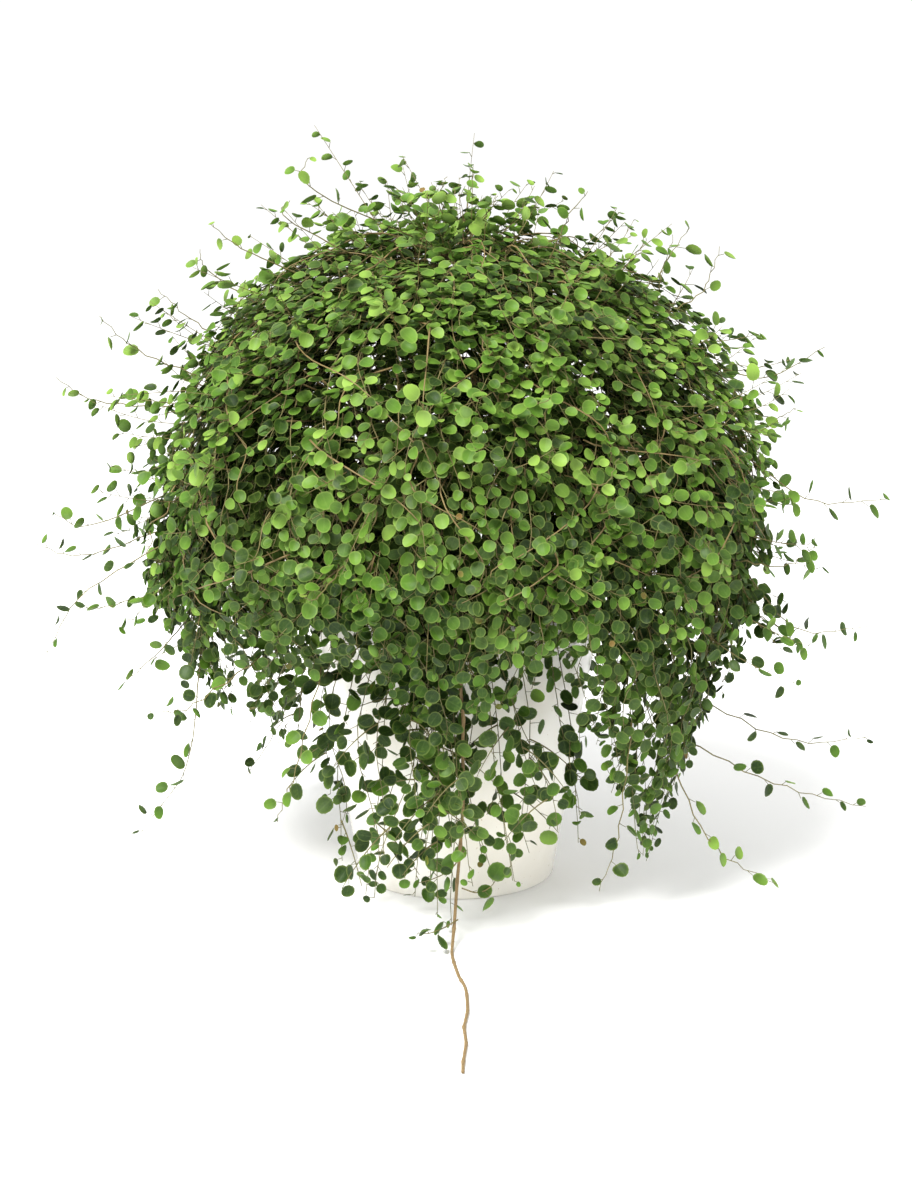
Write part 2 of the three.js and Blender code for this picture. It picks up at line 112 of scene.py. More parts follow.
print("a point at the front:", at(0.0, 100.0, 50.0))

# %% [markdown]
# ## The mound
# The outer face of the foliage is one smooth form: a dome on top and a hanging skirt below. It
# could be sculpted, but as a function of azimuth and level it can be asked for any point, at
# any depth. The level runs from 0 at the very top to 1 at the skirt's lower edge. The form is
# that of the CAD part, so the leaves lie where its solids are; only the skirt ends a little
# higher, because single leaves hang below it.

# %% The mound's outer face
DOME_RADIUS, DOME_RISE, WIDEST_HEIGHT = 210.0, 194.0, 256.0
SKIRT_LOW, SKIRT_TAPER, DOME_SHARE = 160.0, 0.12, 0.62
# bells on the skirt's lower edge: millimetres up, and centre and width in degrees
BELLS = ((-66.0, 55.0, 18.0), (-44.0, -146.0, 30.0), (34.0, 21.0, 9.0), (14.0, -38.0, 18.0))


def bump(azimuth, centre, width):
    """A bell: e to the power of minus the squared turn from the centre, in widths."""
    turn = (azimuth - centre + 180.0) % 360.0 - 180.0
    return np.exp(-((turn / width) ** 2))


def skirt_edge(azimuth):
    """The skirt's lower edge: a constant height, less a bell at the right and one at the back,
    plus two where the photo shows an arch on either side of the tongue of leaves."""
    edge = SKIRT_LOW
    for rise, centre, width in BELLS:
        edge = edge + rise * bump(azimuth, centre, width)
    return edge


def mound(azimuth, level, depth):
    """On the dome the radius goes with the sine, and the height with the cosine, of an angle that
    grows from 0 to 90 degrees with the level. Below it the radius tapers with the square of the
    way down and the height falls evenly. A slow double wave swells both by up to 5 percent."""
    azimuth, level, depth = np.broadcast_arrays(azimuth, level, depth)
    a = np.radians(azimuth)
    swell = 1.0 + 0.03 * np.sin(3 * a + 6 * level) + 0.02 * np.sin(7 * a - 9 * level)
    angle = np.minimum(level / DOME_SHARE, 1.0) * math.pi / 2
    down = np.maximum(level - DOME_SHARE, 0.0) / (1.0 - DOME_SHARE)
    radius = (DOME_RADIUS - depth) * swell * np.sin(angle)
    radius = radius * (1.0 - SKIRT_TAPER * np.minimum(down, 1.2) ** 2)
    height = WIDEST_HEIGHT + (DOME_RISE - depth) * swell * np.cos(angle)
    return at(azimuth, radius, height - down * (WIDEST_HEIGHT - skirt_edge(azimuth)))


def mound_normal(azimuth, level):
    """The outward direction: the cross product of a small step round the mound and one down it."""
    level = np.clip(level, 0.02, 1.1)
    across = mound(azimuth + 0.5, level, 0.0) - mound(azimuth - 0.5, level, 0.0)
    downwards = mound(azimuth, level + 0.005, 0.0) - mound(azimuth, level - 0.005, 0.0)
    return unit(np.cross(downwards, across))


def crown_share(level):
    """1 at the very top, falling evenly to 0 at three tenths of the way down."""
    return np.clip(1 - level / 0.3, 0, 1)


print("top of the mound:", mound(0.0, 0.0, 0.0), "outward at the front:", mound_normal(0.0, 0.5).round(2))

# %% [markdown]
# ## Colours and material helpers
# Colours are written as they are seen on a screen and turned into the linear numbers that
# Blender mixes with. One helper adds a shader node, sets it and wires it, so that each material
# below reads as a recipe. Links are given as (node, output). Most finishes are a ground colour
# with others laid over it where some pattern asks for them, so a short list of such coats
# describes them.

# %% Colour and node helpers
MIX_COLOURS, S_CURVE = {"data_type": "RGBA"}, {"interpolation_type": "SMOOTHSTEP"}


def colour(code):
    """Each channel as a share of 255: below 0.04045 it is divided by 12.92, and above that 0.055
    is added, the sum is divided by 1.055 and raised to 2.4."""
    share = [int(code[i : i + 2], 16) / 255 for i in (1, 3, 5)]
    return [s / 12.92 if s <= 0.04045 else ((s + 0.055) / 1.055) ** 2.4 for s in share] + [1.0]


def wire(tree, made, **sockets):
    """Gives sockets of a node their values or their links. A socket's name is written with _ for
    a space; n and a number mean the socket of that number."""
    for name, value in sockets.items():
        key = int(name[1:]) if name[0] == "n" and name[1:].isdigit() else name.replace("_", " ")
        if isinstance(value, tuple) and isinstance(value[0], bpy.types.Node):
            tree.links.new(value[0].outputs[value[1]], made.inputs[key])
        else:
            made.inputs[key].default_value = value


def node(tree, kind, settings=None, **sockets):
    """Adds one shader node. Settings are its own properties; sockets are wired as above."""
    made = tree.nodes.new("ShaderNode" + kind)
    for name, value in (settings or {}).items():
        setattr(made, name, value)
    wire(tree, made, **sockets)
    return made


def coats(tree, ground, rows):
    """Lays colours over a ground in turn. A row is a driver, the two values of it between which
    the coat comes in, its greatest share and its colour. The share follows an S curve from 0 to
    that greatest one, and mixes what lies below with the coat."""
    for driver, start, full, greatest, code in rows:
        share = node(tree, "MapRange", S_CURVE, Value=driver, From_Min=start, From_Max=full, To_Max=greatest)
        mixed = node(tree, "Mix", MIX_COLOURS, n0=(share, 0), n6=ground, n7=colour(code))
        ground = (mixed, 2)
    return ground


def new_material(name):
    """An empty node tree with its output and a Principled shader, wired together."""
    made = bpy.data.materials.new(name)
    made.use_nodes = True
    tree = made.node_tree
    tree.nodes.clear()
    out, skin = node(tree, "OutputMaterial"), node(tree, "BsdfPrincipled")
    wire(tree, out, Surface=(skin, 0))
    return made, tree, skin, out


print("leaf green in linear numbers:", [round(c, 3) for c in colour("#5E8F3E")])

# %% [markdown]
# ## The leaf's skin
# The real leaf is a thin, slightly leathery blade: mid green and softly glossy above, paler
# below, with a pale midrib and a few faint side veins. Light also passes through it. A fine pale
# edge on each leaf is painted highlight, where light catches the rim. A picture could give all
# this, but three numbers that each leaf carries are enough: where a point lies on the blade, how
# old the leaf is and how light and yellow its green is, which mixes chance with painted shade.
# Leaves deep inside get a shaded copy of the material by the same recipe, duller, as painted shade.

# %% Leaf material
def leaf_skin(name, gloss, dullest, glossiest):
    """The green goes from dark to light by chance and painted shade, then patches, mottling, a darker
    foot and bronze youth, then veins, a painted highlight on the edge and a paler underside. A side
    vein is where a triangle wave of the place along the blade, less three quarters of that across
    it, is near 0. About an eighth of what a leaf shows is light that comes through it."""
    made, tree, skin, out = new_material(name)
    marks = [node(tree, "Attribute", {"attribute_name": key}) for key in ("leaf_place", "leaf_kind")]
    place, kind = (node(tree, "SeparateXYZ", Vector=(mark, "Vector")) for mark in marks)
    along, rim, shade_and_tone, age = (place, 0), (place, 2), (kind, 0), (kind, 1)
    here = (node(tree, "TexCoord"), "Object")
    # the mottling of a living leaf is about 2 mm across, and the patches on the plant about 70
    mottle = (node(tree, "TexNoise", Vector=here, Scale=520.0, Detail=3.0, Roughness=0.6), 0)
    patch = (node(tree, "TexNoise", Vector=here, Scale=14.0, Detail=2.0), 0)
    green = coats(tree, colour("#060A03"), [
        (shade_and_tone, 0.0, 0.26, 1.0, "#193009"),
        (shade_and_tone, 0.18, 0.55, 1.0, "#4A701C"),
        (shade_and_tone, 0.48, 0.95, 1.0, "#7C9C3F"),
        (patch, 0.42, 0.72, 0.30, "#607C34"),
        (mottle, 0.35, 0.85, 0.14, "#7E9C42"),
        (along, 0.75, 0.05, 0.42, "#16280B"),
        (age, 0.72, 1.0, 1.0, "#75582F"),
    ])
    across = (node(tree, "Math", {"operation": "ABSOLUTE"}, n0=(place, 1)), 0)
    fanned = node(tree, "Math", {"operation": "MULTIPLY_ADD"}, n0=across, n1=-0.75, n2=along)
    beat = node(tree, "Math", {"operation": "MULTIPLY"}, n0=(fanned, 0), n1=5.5)
    beat = node(tree, "Math", {"operation": "PINGPONG"}, n0=(beat, 0), n1=0.5)
    fading = {"To_Min": 1.0, "To_Max": 0.0}
    side_vein = node(tree, "MapRange", S_CURVE, Value=(beat, 0), From_Max=0.13, **fading)
    midrib = node(tree, "MapRange", S_CURVE, Value=across, From_Min=0.03, From_Max=0.12, **fading)
    vein = node(tree, "Math", {"operation": "MULTIPLY_ADD"}, n0=(side_vein, 0), n1=0.35, n2=(midrib, 0))
    faint = node(tree, "Math", {"operation": "MULTIPLY", "use_clamp": True}, n0=(vein, 0), n1=0.05)
    green = node(tree, "Mix", MIX_COLOURS, n0=(faint, 0), n6=green, n7=colour("#8CA25C"))
    # painted highlight: the pale edge is where light catches the rim
    green = coats(tree, (green, 2), [(rim, 0.78, 1.0, 0.25, "#98AA55")])
    below = node(tree, "Math", {"operation": "MULTIPLY"}, n0=(kind, 2), n1=0.25)
    green = (node(tree, "Mix", MIX_COLOURS, n0=(below, 0), n6=green, n7=colour("#71875A")), 2)
    height = node(tree, "Math", {"operation": "MULTIPLY_ADD"}, n0=(vein, 0), n1=-0.25, n2=mottle)
    relief = node(tree, "Bump", Strength=0.22, Distance=0.0004, Height=(height, 0))
    shine = node(tree, "MapRange", Value=mottle, To_Min=glossiest, To_Max=dullest)
    wire(tree, skin, Base_Color=green, Normal=(relief, 0), Roughness=(shine, 0), Specular_IOR_Level=gloss)
    glow = node(tree, "Mix", MIX_COLOURS, n0=0.25, n6=green, n7=colour("#86A82C"))
    through = node(tree, "BsdfTranslucent", Color=(glow, 2))
    both = node(tree, "MixShader", Fac=0.13, n1=(skin, 0), n2=(through, 0))
    wire(tree, out, Surface=(both, 0))
    return made


LEAF = leaf_skin("living_leaf", 0.2, 0.62, 0.42)
# painted shade: a shaded copy of the leaf material, with less shine, for leaves deep inside
SHADED_LEAF = leaf_skin("shaded_leaf", 0.05, 0.9, 0.8)
print("leaf materials:", LEAF.name, SHADED_LEAF.name, "with", len(LEAF.node_tree.nodes), "nodes")

# %% [markdown]
# ## Stems and bark
# Young stems and leaf stalks are thin, smooth and olive green. Older stems are tan with darker
# streaks along them. The runner is real wood, with tan bark and dark cracks. Each stem carries its
# age, so one recipe serves the wiry stems and the stalks, and a rougher one serves the runner.

# %% Stem and runner materials
STREAKS_ROUND = 9.0


def stem_skin(name, young, old, streak, relief_size, streaks_per_mm, roughness):
    """From the young colour to the old one by age, with streaks that are long along the stem and
    narrow across it, because noise is read far faster round the stem than along it."""
    made, tree, skin, _ = new_material(name)
    mark = (node(tree, "Attribute", {"attribute_name": "stem_place"}), "Vector")
    age = (node(tree, "SeparateXYZ", Vector=mark), 2)
    here = (node(tree, "TexCoord"), "Object")
    stretch = node(tree, "Mapping", Vector=mark, Scale=(streaks_per_mm, STREAKS_ROUND, 1.0))
    streaks = (node(tree, "TexNoise", Vector=(stretch, 0), Scale=1.0, Detail=4.0, Roughness=0.65), 0)
    spots = (node(tree, "TexNoise", Vector=here, Scale=900.0, Detail=2.0), 0)
    wood = node(tree, "Mix", MIX_COLOURS, n0=age, n6=colour(young), n7=colour(old))
    wood = coats(tree, (wood, 2), [(streaks, 0.46, 0.68, 0.55, streak), (spots, 0.5, 0.8, 0.22, "#B39B6C")])
    height = node(tree, "Math", {"operation": "MULTIPLY_ADD"}, n0=streaks, n1=-1.0, n2=spots)
    relief = node(tree, "Bump", Strength=0.6, Distance=relief_size, Height=(height, 0))
    wire(tree, skin, Base_Color=wood, Normal=(relief, 0), Roughness=roughness, Specular_IOR_Level=0.35)
    return made


WIRY = stem_skin("wiry_stem", "#585E30", "#7A6840", "#42321E", 0.0002, 0.25, 0.55)
BARK = stem_skin("runner_bark", "#8E7852", "#836D48", "#4A3926", 0.0005, 0.35, 0.72)
print("stem materials:", WIRY.name, BARK.name)

# %% [markdown]
# ## Glaze and soil
# The pot is white glazed earthenware. A glaze isn't one flat white: it pools a little
# cream, breaks thin and warm over the rim's edge, and its surface has a slight orange peel. The
# soil is moist peat, nearly black, with lighter fibres.

# %% Pot and soil materials
def glaze():
    """White that leans to cream by slow noise, warmer on sharp bends, under a clear coat."""
    made, tree, skin, _ = new_material("white_glaze")
    here = (node(tree, "TexCoord"), "Object")
    bend = (node(tree, "NewGeometry"), "Pointiness")
    pool = (node(tree, "TexNoise", Vector=here, Scale=16.0, Detail=3.0), 0)
    peel = (node(tree, "TexNoise", Vector=here, Scale=160.0, Detail=2.0), 0)
    speck = (node(tree, "TexNoise", Vector=here, Scale=700.0, Detail=1.0), 0)
    white = coats(tree, colour("#F3F1EA"), [
        (pool, 0.35, 0.7, 1.0, "#E9E4D8"),
        (bend, 0.535, 0.6, 1.0, "#D2BE9C"),
        (speck, 0.74, 0.8, 1.0, "#B59D7C"),
    ])
    relief = node(tree, "Bump", Strength=0.18, Distance=0.0006, Height=peel)
    wire(tree, skin, Base_Color=white, Normal=(relief, 0), Roughness=0.24)
    wire(tree, skin, Coat_Weight=0.5, Coat_Roughness=0.12)
    return made


def peat():
    """Near-black brown, with brown crumbs by cell noise and pale fibres by fine noise."""
    made, tree, skin, _ = new_material("moist_peat")
    here = (node(tree, "TexCoord"), "Object")
    crumb = (node(tree, "TexVoronoi", Vector=here, Scale=260.0), "Distance")
    fibre = (node(tree, "TexNoise", Vector=here, Scale=420.0, Detail=5.0, Roughness=0.7), 0)
    rows = [(crumb, 0.1, 0.7, 1.0, "#1D140E"), (fibre, 0.58, 0.8, 1.0, "#6E5539")]
    brown = coats(tree, colour("#3B2A1E"), rows)
    relief = node(tree, "Bump", Strength=0.9, Distance=0.0012, Height=fibre)
    wire(tree, skin, Base_Color=brown, Normal=(relief, 0), Roughness=0.92)
    return made


GLAZE, PEAT = glaze(), peat()
print("pot and soil materials:", GLAZE.name, PEAT.name)

# %% [markdown]
# ## From arrays to a Blender piece
# Each piece is made from an array of points and an array of triangles. Blender takes both in one
# go, which is far quicker than adding faces one by one. Each piece then rides on the part's
# one body and hides the CAD node that it stands for.

# %% Make a piece from arrays
def piece(name, points, triangles, material, nodes, places=None, sharp=None):
    """A mesh from whole arrays. places holds named arrays of three numbers for each point, and
    sharp holds a flag for each point: an edge between two flagged points is a crease."""
    mesh = bpy.data.meshes.new(name)
    mesh.vertices.add(len(points))
    mesh.vertices.foreach_set("co", np.asarray(points, np.float32).ravel())
    mesh.loops.add(3 * len(triangles))
    mesh.loops.foreach_set("vertex_index", np.asarray(triangles, np.int32).ravel())
    mesh.polygons.add(len(triangles))
    mesh.polygons.foreach_set("loop_start", np.arange(0, 3 * len(triangles), 3, dtype=np.int32))
    mesh.polygons.foreach_set("use_smooth", np.full(len(triangles), True))
    mesh.update(calc_edges=True)
    for key, values in (places or {}).items():
        layer = mesh.attributes.new(key, "FLOAT_VECTOR", "POINT")
        layer.data.foreach_set("vector", np.asarray(values, np.float32).ravel())
    if sharp is not None:
        ends = np.empty(2 * len(mesh.edges), np.int32)
        mesh.edges.foreach_get("vertices", ends)
        crease = sharp[ends.reshape(-1, 2)].all(axis=1)
        mesh.attributes.new("sharp_edge", "BOOLEAN", "EDGE").data.foreach_set("value", crease)
    mesh.materials.append(material)
    made = bpy.data.objects.new(name, mesh)
    bpy.context.scene.collection.objects.link(made)
    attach(made, "root")
    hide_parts(*nodes)
    return made


def fan(centre, first, second):
    """A triangle from one centre to each pair of neighbours."""
    return np.stack([np.full(len(first), centre), first, second], 1)


def two_triangles(a, b, c, d):
    """Four-sided faces, with a and b on one ring and c and d on the next, each cut in two."""
    return np.concatenate([np.stack([a, c, b], -1).reshape(-1, 3), np.stack([b, c, d], -1).reshape(-1, 3)])


print("a fan of two triangles:", fan(9, np.array([0, 1]), np.array([1, 2])).tolist())

# %% [markdown]
# ## One leaf
# The blade is nearly round, a little longer than wide. Twelve points give its outline, six a
# ring inside it and one its middle, above and again below, so it is a closed thin lens of 48
# triangles. That few is enough at 10 mm, and there are thousands of leaves. Leaves deep inside,
# of which only a glimpse shows, get eight points and 16 triangles.

# %% The leaf's two patterns
def leaf_pattern(count, ring_share):
    """The outline is a circle, a twentieth flatter at foot and tip and wider towards its foot. The
    ring, if any, is every second point of it, drawn in. Above, triangles fan from the middle to
    the ring and on to the outline; below, the same ones face the other way. Given back are the
    points, how far out each one is, which of them are below, and the triangles."""
    turn = np.arange(count) * 2 * math.pi / count
    x, y = -np.cos(turn) * (1.0 - 0.05 * np.cos(2 * turn)), np.sin(turn) * (1.0 + 0.09 * np.cos(turn))
    edge = np.stack([x, y], axis=1)
    ring = edge[::2] * ring_share if ring_share else np.zeros((0, 2))
    inner = np.concatenate([ring, [[0.0, 0.0]]])
    inner_rim = np.concatenate([np.full(len(ring), ring_share), [0.0]])
    flat = np.concatenate([edge, inner, inner])
    rim = np.concatenate([np.ones(count), inner_rim, inner_rim])
    below = np.concatenate([np.zeros(count + len(inner)), np.ones(len(inner))])
    if len(ring):
        k = np.arange(len(ring))
        o0, o1, o2 = 2 * k, 2 * k + 1, (2 * k + 2) % count
        r0, r1 = count + k, count + (k + 1) % len(ring)
        outside = [np.stack(corners, 1) for corners in ((r0, o0, o1), (r0, o1, r1), (r1, o1, o2))]
        top = np.concatenate(outside + [fan(count + len(ring), r0, r1)])
    else:
        top = fan(count, np.arange(count), (np.arange(count) + 1) % count)
    under = top.copy()
    under[under >= count] += len(inner)
    return flat, rim, below, np.concatenate([top[:, ::-1], under])


FULL_LEAF, PLAIN_LEAF = leaf_pattern(12, 0.58), leaf_pattern(8, 0.0)
print("triangles of a leaf:", len(FULL_LEAF[3]), "and of one deep inside:", len(PLAIN_LEAF[3]))

# %% [markdown]
# ## Leaves on stems
# A leaf grows on a short stalk, first on one side of the stem and then on the other. Its stalk
# leans forward along the stem, and its blade turns its face outward and up to the light: on top
# of the mound it looks up, and low on the skirt, where stems hang, it looks outward. The
# blade is cupped a little, folded along the midrib, and its end curls. All of that is worked out
# for all leaves of a spray at once, as arrays.

# %% Grow leaves
TALLY = {"leaves": 0, "triangles": 0}
BLADE_THICKNESS = 0.045


def grow_leaves(name, node_name, pattern, skin, leaf, chance):
    """leaf holds one array for each thing that differs from leaf to leaf.
    Stalk: the sideways direction, plus part of the stem's and the outward one, plus chance.
    Face: the outward direction, plus more of up the higher the leaf sits, plus chance. A point of
    the blade is the stalk's end, plus its place along the blade, across it and its cup above it,
    in the leaf's own directions. The cup goes with the square of the distance from the middle,
    the fold with the distance from the midrib, the curl with the square of the way to the end."""
    flat, rim, below, triangles = pattern
    root, along, out, length = leaf["root"], leaf["along"], leaf["out"], leaf["length"]
    count = len(root)
    lift = 0.12 + 0.55 * np.clip((root[:, 2:3] - 0.15) / 0.2, 0, 1)
    across = unit(np.cross(along, out)) * leaf["side"][:, None]
    stalk = unit(across * 0.85 + along * 0.45 + out * 0.5 + chance.normal(0, 0.3, (count, 3)))
    base = root + stalk * (length * chance.uniform(0.8, 1.25, count) * leaf["stalk"])[:, None]
    face = unit(out * 0.8 + UP * lift + chance.normal(0, 1, (count, 3)) * leaf["loose"][:, None])
    tip = stalk + along * 0.2 - UP * 0.35
    tip = unit(tip - face * (tip * face).sum(1, keepdims=True))
    wide = np.cross(face, tip)
    width = length * chance.uniform(0.78, 0.99, count)
    ranges = ((0.0, 0.32), (0.0, 0.20), (-0.30, 0.06))
    cup, fold, curl = (chance.uniform(least, most, count)[:, None] for least, most in ranges)
    x, y = flat[None, :, 0], flat[None, :, 1]
    rise = cup * (x**2 + y**2) + fold * np.abs(y) + curl * np.clip(x, 0, None) ** 2
    rise = rise * length[:, None] * 0.5 - (below * BLADE_THICKNESS)[None] * length[:, None]
    points = (
        base[:, None]
        + tip[:, None] * ((x + 1.0) * 0.5 * length[:, None])[..., None]
        + wide[:, None] * (y * 0.5 * width[:, None])[..., None]
        + face[:, None] * rise[..., None]
    )
    faces = triangles[None] + (np.arange(count) * len(flat))[:, None, None]
    place = np.broadcast_to(np.stack([(flat[:, 0] + 1) / 2, flat[:, 1], rim], 1)[None], points.shape)
    kind = np.stack(np.broadcast_arrays(leaf["shade_and_tone"][:, None], leaf["age"][:, None], below[None]), -1)
    sharp = np.broadcast_to(rim > 0.99, points.shape[:2]).ravel()
    made = piece(name, points.reshape(-1, 3), faces.reshape(-1, 3), skin, [node_name],
                 {"leaf_place": place, "leaf_kind": kind}, sharp)
    TALLY["leaves"] += count
    TALLY["triangles"] += len(made.data.polygons)
    return base, stalk


print("a blade is", BLADE_THICKNESS, "of its length thick in its middle")

# %% [markdown]
# ## Stems as tubes
# A stem is a tube of a few sides along its path. Each ring must not twist against the last, so
# its side direction is the last one's, less what points along the new piece of path. The loop
# goes over the rings only: every stem of a spray is drawn in the same step.

# %% Sweep tubes along paths
def tubes(paths, radius, sides, age):
    """A ring's point is the path's point plus the radius times (cosine of its turn times the side
    direction plus sine times the other one). Each end is closed by one point. Every point is
    marked with its millimetres along the stem, its turn round it and its age."""
    count, rings = paths.shape[:2]
    radius, age = (np.broadcast_to(given, (count, rings))[:, :, None] for given in (radius, age))
    forward = unit(np.gradient(paths, axis=1))
    seed = np.where(np.abs(forward[:, 0, 2:3]) < 0.8, [[0.0, 0.0, 1.0]], [[1.0, 0.0, 0.0]])
    side = unit(np.cross(forward[:, 0], seed))
    frames = []
    for k in range(rings):
        side = unit(side - forward[:, k] * (side * forward[:, k]).sum(1, keepdims=True))
        frames.append(side)
    side = np.stack(frames, 1)
    other = np.cross(forward, side)
    t = np.arange(sides) * 2 * math.pi / sides
    cosine, sine = np.cos(t)[None, None, :, None], np.sin(t)[None, None, :, None]
    outward = cosine * side[:, :, None] + sine * other[:, :, None]
    ring_points = paths[:, :, None] + radius[..., None] * outward
    points = np.concatenate([ring_points.reshape(count, -1, 3), paths[:, :1], paths[:, -1:]], 1)
    k, s = np.meshgrid(np.arange(rings - 1), np.arange(sides), indexing="ij")
    a, b = k * sides + s, k * sides + (s + 1) % sides
    s, last, middle = np.arange(sides), (rings - 1) * sides, rings * sides
    near = fan(middle, s, (s + 1) % sides)
    far = fan(middle + 1, last + (s + 1) % sides, last + s)
    one = np.concatenate([two_triangles(a, b, a + sides, b + sides), near, far])[:, ::-1]
    faces = one[None] + (np.arange(count) * points.shape[1])[:, None, None]
    length = np.cumsum(np.linalg.norm(np.diff(paths, axis=1, prepend=paths[:, :1]), axis=2), axis=1) / MM
    mark = np.stack(np.broadcast_arrays(length[:, :, None], (t / (2 * math.pi))[None, None], age), -1)
    mark = mark.reshape(count, -1, 3)
    mark = np.concatenate([mark, mark[:, :1], mark[:, -1:]], 1)
    return points.reshape(-1, 3), faces.reshape(-1, 3), mark.reshape(-1, 3)


def smooth_path(knots, count):
    """A Catmull-Rom curve through the knots: each stretch is a cubic whose slope at a knot is
    half the way from the knot before it to the one after."""
    knots = np.asarray(knots, float)
    padded = np.concatenate([2 * knots[:1] - knots[1:2], knots, 2 * knots[-1:] - knots[-2:-1]])
    u = np.linspace(0, len(knots) - 1, count)
    n = np.minimum(u.astype(int), len(knots) - 2)
    f = (u - n)[:, None]
    p0, p1, p2, p3 = (padded[n + j] for j in range(4))
    squared, cubed = (2 * p0 - 5 * p1 + 4 * p2 - p3) * f**2, (3 * p1 - p0 - 3 * p2 + p3) * f**3
    return 0.5 * (2 * p1 + (p2 - p0) * f + squared + cubed)


def on_paths(paths, spacing, first):
    """Places at an even spacing along each path, from a share of its length to its end: gives the
    path's number, the leaf's number on it, the point, the direction there and the share."""
    step = np.linalg.norm(np.diff(paths, axis=1), axis=2)
    gone = np.concatenate([np.zeros((len(paths), 1)), np.cumsum(step, 1)], 1)
    total = gone[:, -1]
    most = int(np.ceil(((1 - first) * total / spacing).max())) + 1
    share = first[:, None] + (np.arange(most)[None] + 0.5) * (spacing / total)[:, None]
    row, col = np.nonzero(share < 1.0)
    share = share[row, col]
    number = np.clip((gone[row] <= (share * total[row])[:, None]).sum(1) - 1, 0, paths.shape[1] - 2)
    f = (share * total[row] - gone[row, number]) / np.maximum(step[row, number], 1e-9)
    point = paths[row, number] * (1 - f)[:, None] + paths[row, number + 1] * f[:, None]
    return row, col, point, unit(paths[row, number + 1] - paths[row, number]), share


print("a smooth path of", len(smooth_path([[0, 0, 0], [1, 0, 0], [1, 1, 0]], 9)), "points")

# %% [markdown]
# ## The shoots that leave the mound
# Long whips stand out from the mound on every side. Each is written by the place where it leaves
# the foliage, a place on its way and its tip: the first by azimuth and height, the other two by
# azimuth, radius and height. Each grows from the spray whose sector holds its first place.

# %% Outlying shoots
SHOOTS = np.array([
    [-38, 428, -44, 126, 462, -48, 122, 480], [-72, 418, -75, 112, 442, -77, 108, 452],
    [-78, 404, -76, 142, 424, -75, 160, 438], [-88, 385, -87, 160, 406, -86, 165, 420],
    [-100, 355, -97, 178, 374, -95, 197, 392], [-84, 340, -82, 204, 356, -80, 230, 380],
    [-96, 316, -92, 234, 319, -90, 262, 336], [-88, 262, -86, 240, 241, -85, 264, 250],
    [-100, 236, -97, 252, 212, -95, 284, 220], [-74, 240, -76, 246, 204, -78, 271, 163],
    [-94, 196, -92, 233, 181, -90, 252, 181], [-82, 178, -80, 200, 158, -79, 223, 139],
    [-70, 156, -72, 184, 92, -76, 214, 42], [-12, 440, -9, 56, 456, -6, 58, 468],
    [30, 436, 24, 52, 446, 26, 58, 456], [60, 418, 62, 80, 442, 64, 92, 458],
    [74, 402, 76, 118, 418, 78, 124, 428], [96, 382, 98, 138, 408, 100, 156, 432],
    [82, 378, 82, 160, 396, 84, 170, 422], [88, 342, 86, 202, 338, 84, 238, 359],
    [104, 312, 101, 218, 304, 98, 230, 312], [80, 292, 80, 232, 262, 82, 281, 262],
    [98, 256, 99, 222, 246, 100, 237, 247], [66, 230, 70, 222, 226, 73, 240, 239],
    [76, 216, 76, 228, 180, 78, 272, 182], [90, 190, 92, 212, 170, 94, 227, 158],
    [70, 134, 74, 226, 108, 78, 274, 108], [62, 112, 68, 224, 84, 73, 276, 68],
    [52, 108, 55, 198, 54, 60, 234, 28], [38, 126, 36, 172, 70, 30, 176, 36],
    [-30, 150, -32, 186, 112, -34, 196, 84], [-48, 168, -50, 214, 150, -52, 238, 150],
    [22, 300, 22, 226, 300, 22, 244, 318], [-20, 250, -20, 232, 236, -20, 252, 240],
    [128, 372, 130, 184, 392, 132, 206, 420], [142, 300, 140, 238, 292, 138, 272, 306],
    [160, 216, 158, 236, 186, 156, 268, 178], [176, 150, 176, 192, 96, 174, 206, 52],
    [-170, 330, -170, 214, 340, -170, 240, 362], [-158, 240, -157, 240, 214, -156, 276, 212],
    [-140, 118, -138, 196, 60, -134, 222, 14], [-132, 300, -132, 232, 290, -132, 262, 300],
    [-118, 170, -118, 218, 136, -118, 248, 118],
], float)


def level_of(azimuth, height):
    """The level at which the mound has this height: straight below its widest height, and by the
    arc cosine above it."""
    way_down = (WIDEST_HEIGHT - height) / (WIDEST_HEIGHT - skirt_edge(azimuth))
    low = np.minimum(0.98, DOME_SHARE + way_down * (1 - DOME_SHARE))
    share = np.clip((height - WIDEST_HEIGHT) / (DOME_RISE - 20.0), 0.0, 1.0)
    high = np.maximum(0.05, DOME_SHARE * np.arccos(share) / (math.pi / 2))
    return np.where(height < WIDEST_HEIGHT, low, high)


CROWN_LEVEL = 0.25
shoot_level = level_of(SHOOTS[:, 0], SHOOTS[:, 1])
print(len(SHOOTS), "shoots,", int((shoot_level < CROWN_LEVEL).sum()), "of them on the crown")

# %% [markdown]
# ## Kinds of stem in a spray
# A spray is everything that one sector of the mound bears. Most of its stems dive in and out of
# the face and carry the cover of leaves. Others stay deep and fill the dark inside. Bare tan
# ones run over the leaves, and below the widest place some hang free. All of these are the same
# rule with other numbers, so they are rows of one table.

# %% The table of stems
RINGS = 14
FULL_TURN = 6.3
RIGHT_ARCH = (21.0, 12.0)
